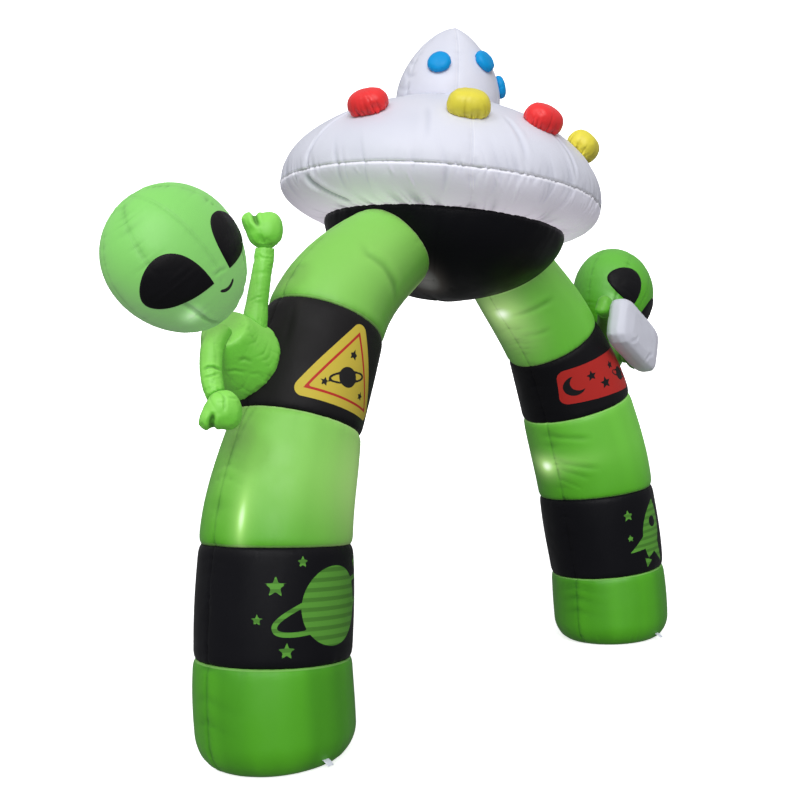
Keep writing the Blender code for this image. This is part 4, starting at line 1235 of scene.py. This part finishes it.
def sewn_piece(piece, node, neighbours, material, pucker, seed):
    """Puckers beside the seams with the neighbours, then the creases and the seams of the piece's own."""
    points = vertices_of(piece)
    pitch, reach, depth = pucker
    height = 0.0009 * wander_2d(points[:, 0] / 0.05 + points[:, 1] / 0.07, points[:, 2] / 0.05, seed)
    nearest, run = np.full(len(points), 0.5), points[:, 2].copy()
    for k, (neighbour, share) in enumerate(neighbours):
        gap, around, size = seam_gaps(points, neighbour)
        period = max(6, round(TURN * size / pitch))
        height += seam_height(around, gap, seed + 4 * k, TURN * size / period, reach, depth * share,
                              groove=0.0015, slant=0.2, period=period)
        closer = gap < nearest
        nearest[closer], run[closer] = gap[closer], around[closer]
    tree = surface_tree(piece.data)

    def on_cloth(path):
        return [tree.find_nearest(Vector(p))[0][:] for p in dense(path, 13).tolist()]

    for path, deep, width in SMALL_CREASES.get(node, ()):
        height += crease_height(points, on_cloth(path), deep, width)
    for k, (path, deep, reach) in enumerate(SMALL_SEAMS.get(node, ())):
        gap, along = path_distance(points, on_cloth(path))
        height += seam_height(along + k, gap, seed + 50 + k, reach=reach, depth=deep, **SMALL_SEAM)
    height *= np.clip(nearest / 0.004, 0, 1)
    piece.data.vertices.foreach_set("co", (points + normals_of(piece) * height[:, None]).ravel())
    piece.data.update()
    # painted shade: darker colour in the valleys of the puckers and creases
    note(piece, seam_gap=nearest, seam_run=run, fold=np.clip(-height / FOLD_DEPTH, -0.2, 0.6))
    finish_piece(piece, node, material)


def small_pieces():
    """Each small piece: node, name, colour, neighbours and their puckers' shares, mesh, pucker, seed."""
    for k, colour in enumerate(LAMPS, 1):
        yield (f"lamp_{k}_{colour}", f"lamp_{k}_cloth", colour, [("saucer_upper", 1)],
               *SMALL_MESHES["lamp"], 300 + k)
    for k in range(1, WINDOWS + 1):
        yield (f"window_{k}", f"window_{k}_cloth", "blue", [("saucer_dome", 1)],
               *SMALL_MESHES["window"], 320 + k)
    for name, limbs, far in (("left", ("raised", "hanging"), ""), ("right", ("near", "far"), "far_")):
        head, torso = f"figure_{name}_head", f"figure_{name}_torso"
        yield (torso, f"{name}_torso_cloth", "green", [(f"leg_{name}_upper_band", 0.6), (head, 1.8)],
               *SMALL_MESHES[far + "torso"], 340)
        for limb in limbs:
            arm, hand = (f"figure_{name}_{limb}_{part}" for part in ("arm", "hand"))
            yield (arm, f"{name}_{limb}_arm_cloth", "green", [(torso, 1), (hand, 0.7)],
                   *SMALL_MESHES[far + "arm"], 350)
            yield hand, f"{name}_{limb}_hand_cloth", "green", [(arm, 1)], *SMALL_MESHES[far + "hand"], 360
    yield ("board", "board_cloth", "white", [("figure_right_near_hand", 1), ("figure_right_far_hand", 1)],
           *SMALL_MESHES["board"], 380)


def build_small_pieces(materials):
    jobs = [(remeshed(node, name, *mesh), node, neighbours, colour, pucker, seed)
            for node, name, colour, neighbours, mesh, pucker, seed in small_pieces()]
    puff({piece: np.min([seam_gaps(vertices_of(piece), other)[0] for other, _ in neighbours], axis=0)
          for piece, node, neighbours, *_ in jobs if not node.startswith(("window", "board"))})
    for piece, node, neighbours, colour, pucker, seed in jobs:
        finer(piece)
        sewn_piece(piece, node, neighbours, materials[colour], pucker, seed)
        if node == "board":
            note(piece, glow=np.full(len(piece.data.vertices), BOARD_GLOW))
    for name in SIDES:
        tab = remeshed(f"foot_tab_{name}", f"{name}_tab_cloth", 0.0015, 4)
        note(tab, seam_gap=np.full(len(tab.data.vertices), 0.5), seam_run=vertices_of(tab)[:, 2],
             fold=np.zeros(len(tab.data.vertices)))
        finish_piece(tab, f"foot_tab_{name}", materials["white"])


# ------------------------------------------------------------------ room and camera
def add_light(name, place, angle, strength):
    data = bpy.data.lights.new(name, 'SUN')
    data.angle = math.radians(angle)
    data.energy = strength
    light = bpy.data.objects.new(name, data)
    light.location = place
    light.rotation_mode = 'QUATERNION'
    light.rotation_quaternion = (-Vector(place)).to_track_quat('-Z', 'Y')
    bpy.context.collection.objects.link(light)


def build_room():
    world = bpy.data.worlds.new("studio")
    world.use_nodes = True
    tree = world.node_tree
    place, split, ramp = (tree.nodes.new("ShaderNode" + kind)
                          for kind in ("TexCoord", "SeparateXYZ", "MapRange"))
    (low, dim), (high, bright) = SKY
    for key, value in (("From Min", low), ("From Max", high), ("To Min", dim), ("To Max", bright)):
        ramp.inputs[key].default_value = value
    tree.links.new(place.outputs["Generated"], split.inputs[0])
    tree.links.new(split.outputs["Z"], ramp.inputs["Value"])
    tree.links.new(ramp.outputs[0], tree.nodes["Background"].inputs["Strength"])
    tree.nodes["Background"].inputs["Color"].default_value = (0.97, 0.98, 1.0, 1.0)
    bpy.context.scene.world = world
    corners = [(x * FLOOR_HALF, y * FLOOR_HALF, 0.0) for x, y in ((-1, -1), (1, -1), (1, 1), (-1, 1))]
    floor = add_mesh("floor", np.array(corners), [(0, 1, 2, 3)])
    floor.data.materials.append(plain_material("floor_paint", (0.95, 0.95, 0.95), FLOOR_GLOW))
    paint = plain_material("wall_paint", (1.0, 1.0, 1.0), 1.0)
    walls = []
    for k in range(4):                  # the first one stands behind the arch, the others are for other views
        turn = Matrix.Rotation(math.radians(90 * k), 4, 'Z')
        corners = [turn @ Vector((WALL_FAR + side * WALL_HALF, WALL_FAR - side * WALL_HALF, up))
                   for side, up in ((-1, WALL_LOW), (1, WALL_LOW), (1, WALL_TOP), (-1, WALL_TOP))]
        wall = add_mesh(f"wall_{k + 1}", np.array(corners), [(0, 1, 2, 3)])
        wall.data.materials.append(paint)
        wall.visible_shadow = k == 0
        walls.append(wall)
    for plain in (floor, *walls):       # they fill the picture and throw no light on the arch
        plain.visible_diffuse = False
        plain.visible_glossy = False
    for light in LIGHTS:
        add_light(*light)
    bpy.context.scene.view_settings.view_transform = 'Standard'


def build_camera():
    forward = Vector((math.sin(CAMERA_YAW) * math.cos(CAMERA_PITCH),
                      math.cos(CAMERA_YAW) * math.cos(CAMERA_PITCH), math.sin(CAMERA_PITCH)))
    level = Vector((math.cos(CAMERA_YAW), -math.sin(CAMERA_YAW), 0.0))
    upright = level.cross(forward)
    right = math.cos(CAMERA_ROLL) * level + math.sin(CAMERA_ROLL) * upright
    up = math.cos(CAMERA_ROLL) * upright - math.sin(CAMERA_ROLL) * level
    data = bpy.data.cameras.new("camera")
    data.lens = CAMERA_LENS
    data.sensor_width = 36.0
    data.clip_start, data.clip_end = 0.05, 60.0
    camera = bpy.data.objects.new("camera", data)
    bpy.context.collection.objects.link(camera)
    camera.matrix_world = (Matrix.Translation(Vector(CAMERA_PLACE) + Vector(MIDDLE_OF_FEET))
                           @ Matrix((right, up, -forward)).transposed().to_4x4())
    bpy.context.scene.camera = camera


# ------------------------------------------------------------------ all of it
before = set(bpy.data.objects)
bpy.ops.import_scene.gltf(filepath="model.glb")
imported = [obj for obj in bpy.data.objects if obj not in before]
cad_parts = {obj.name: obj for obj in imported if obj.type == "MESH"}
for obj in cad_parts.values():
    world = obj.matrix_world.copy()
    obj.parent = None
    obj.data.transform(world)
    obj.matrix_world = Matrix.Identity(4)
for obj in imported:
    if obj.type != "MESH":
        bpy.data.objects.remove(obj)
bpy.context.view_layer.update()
BLACK_CLOTH = dict(roughness=0.46, shine=0.11, glow=0.06)
GREEN_CLOTH = dict(roughness=0.48, shine=0.5, glow=1.0)
MATERIALS = {
    "green": cloth_material("green_nylon", "green", **GREEN_CLOTH),
    "black": cloth_material("black_nylon", "black", **BLACK_CLOTH),
    "face": cloth_material("face_nylon", "green", mouth=True, **GREEN_CLOTH),
    "white": cloth_material("white_nylon", "white", glow=1.0, shine=0.3),
    "red": cloth_material("red_nylon", "red", roughness=0.36),
    "yellow": cloth_material("yellow_nylon", "yellow", roughness=0.38),
    "blue": cloth_material("blue_nylon", "blue", shine=0.25),
}
for (leg, band), (drawing, _, _) in LEG_PRINTS.items():
    inks = list(drawing(np.zeros(1), np.zeros(1)))
    MATERIALS[leg, band] = cloth_material(f"{leg}_{band}_print", "black", inks, **BLACK_CLOTH)
build_camera()
build_room()
SAUCER = saucer_matrix()
build_saucer(SAUCER, MATERIALS)
for leg in SIDES:
    for k, (panel, colour) in enumerate(LEG_PANELS):
        build_leg_panel(leg, k, panel, colour, SAUCER, MATERIALS)
for label, sizes in FIGURES.items():
    build_head(label, materials=MATERIALS, **sizes)
build_small_pieces(MATERIALS)
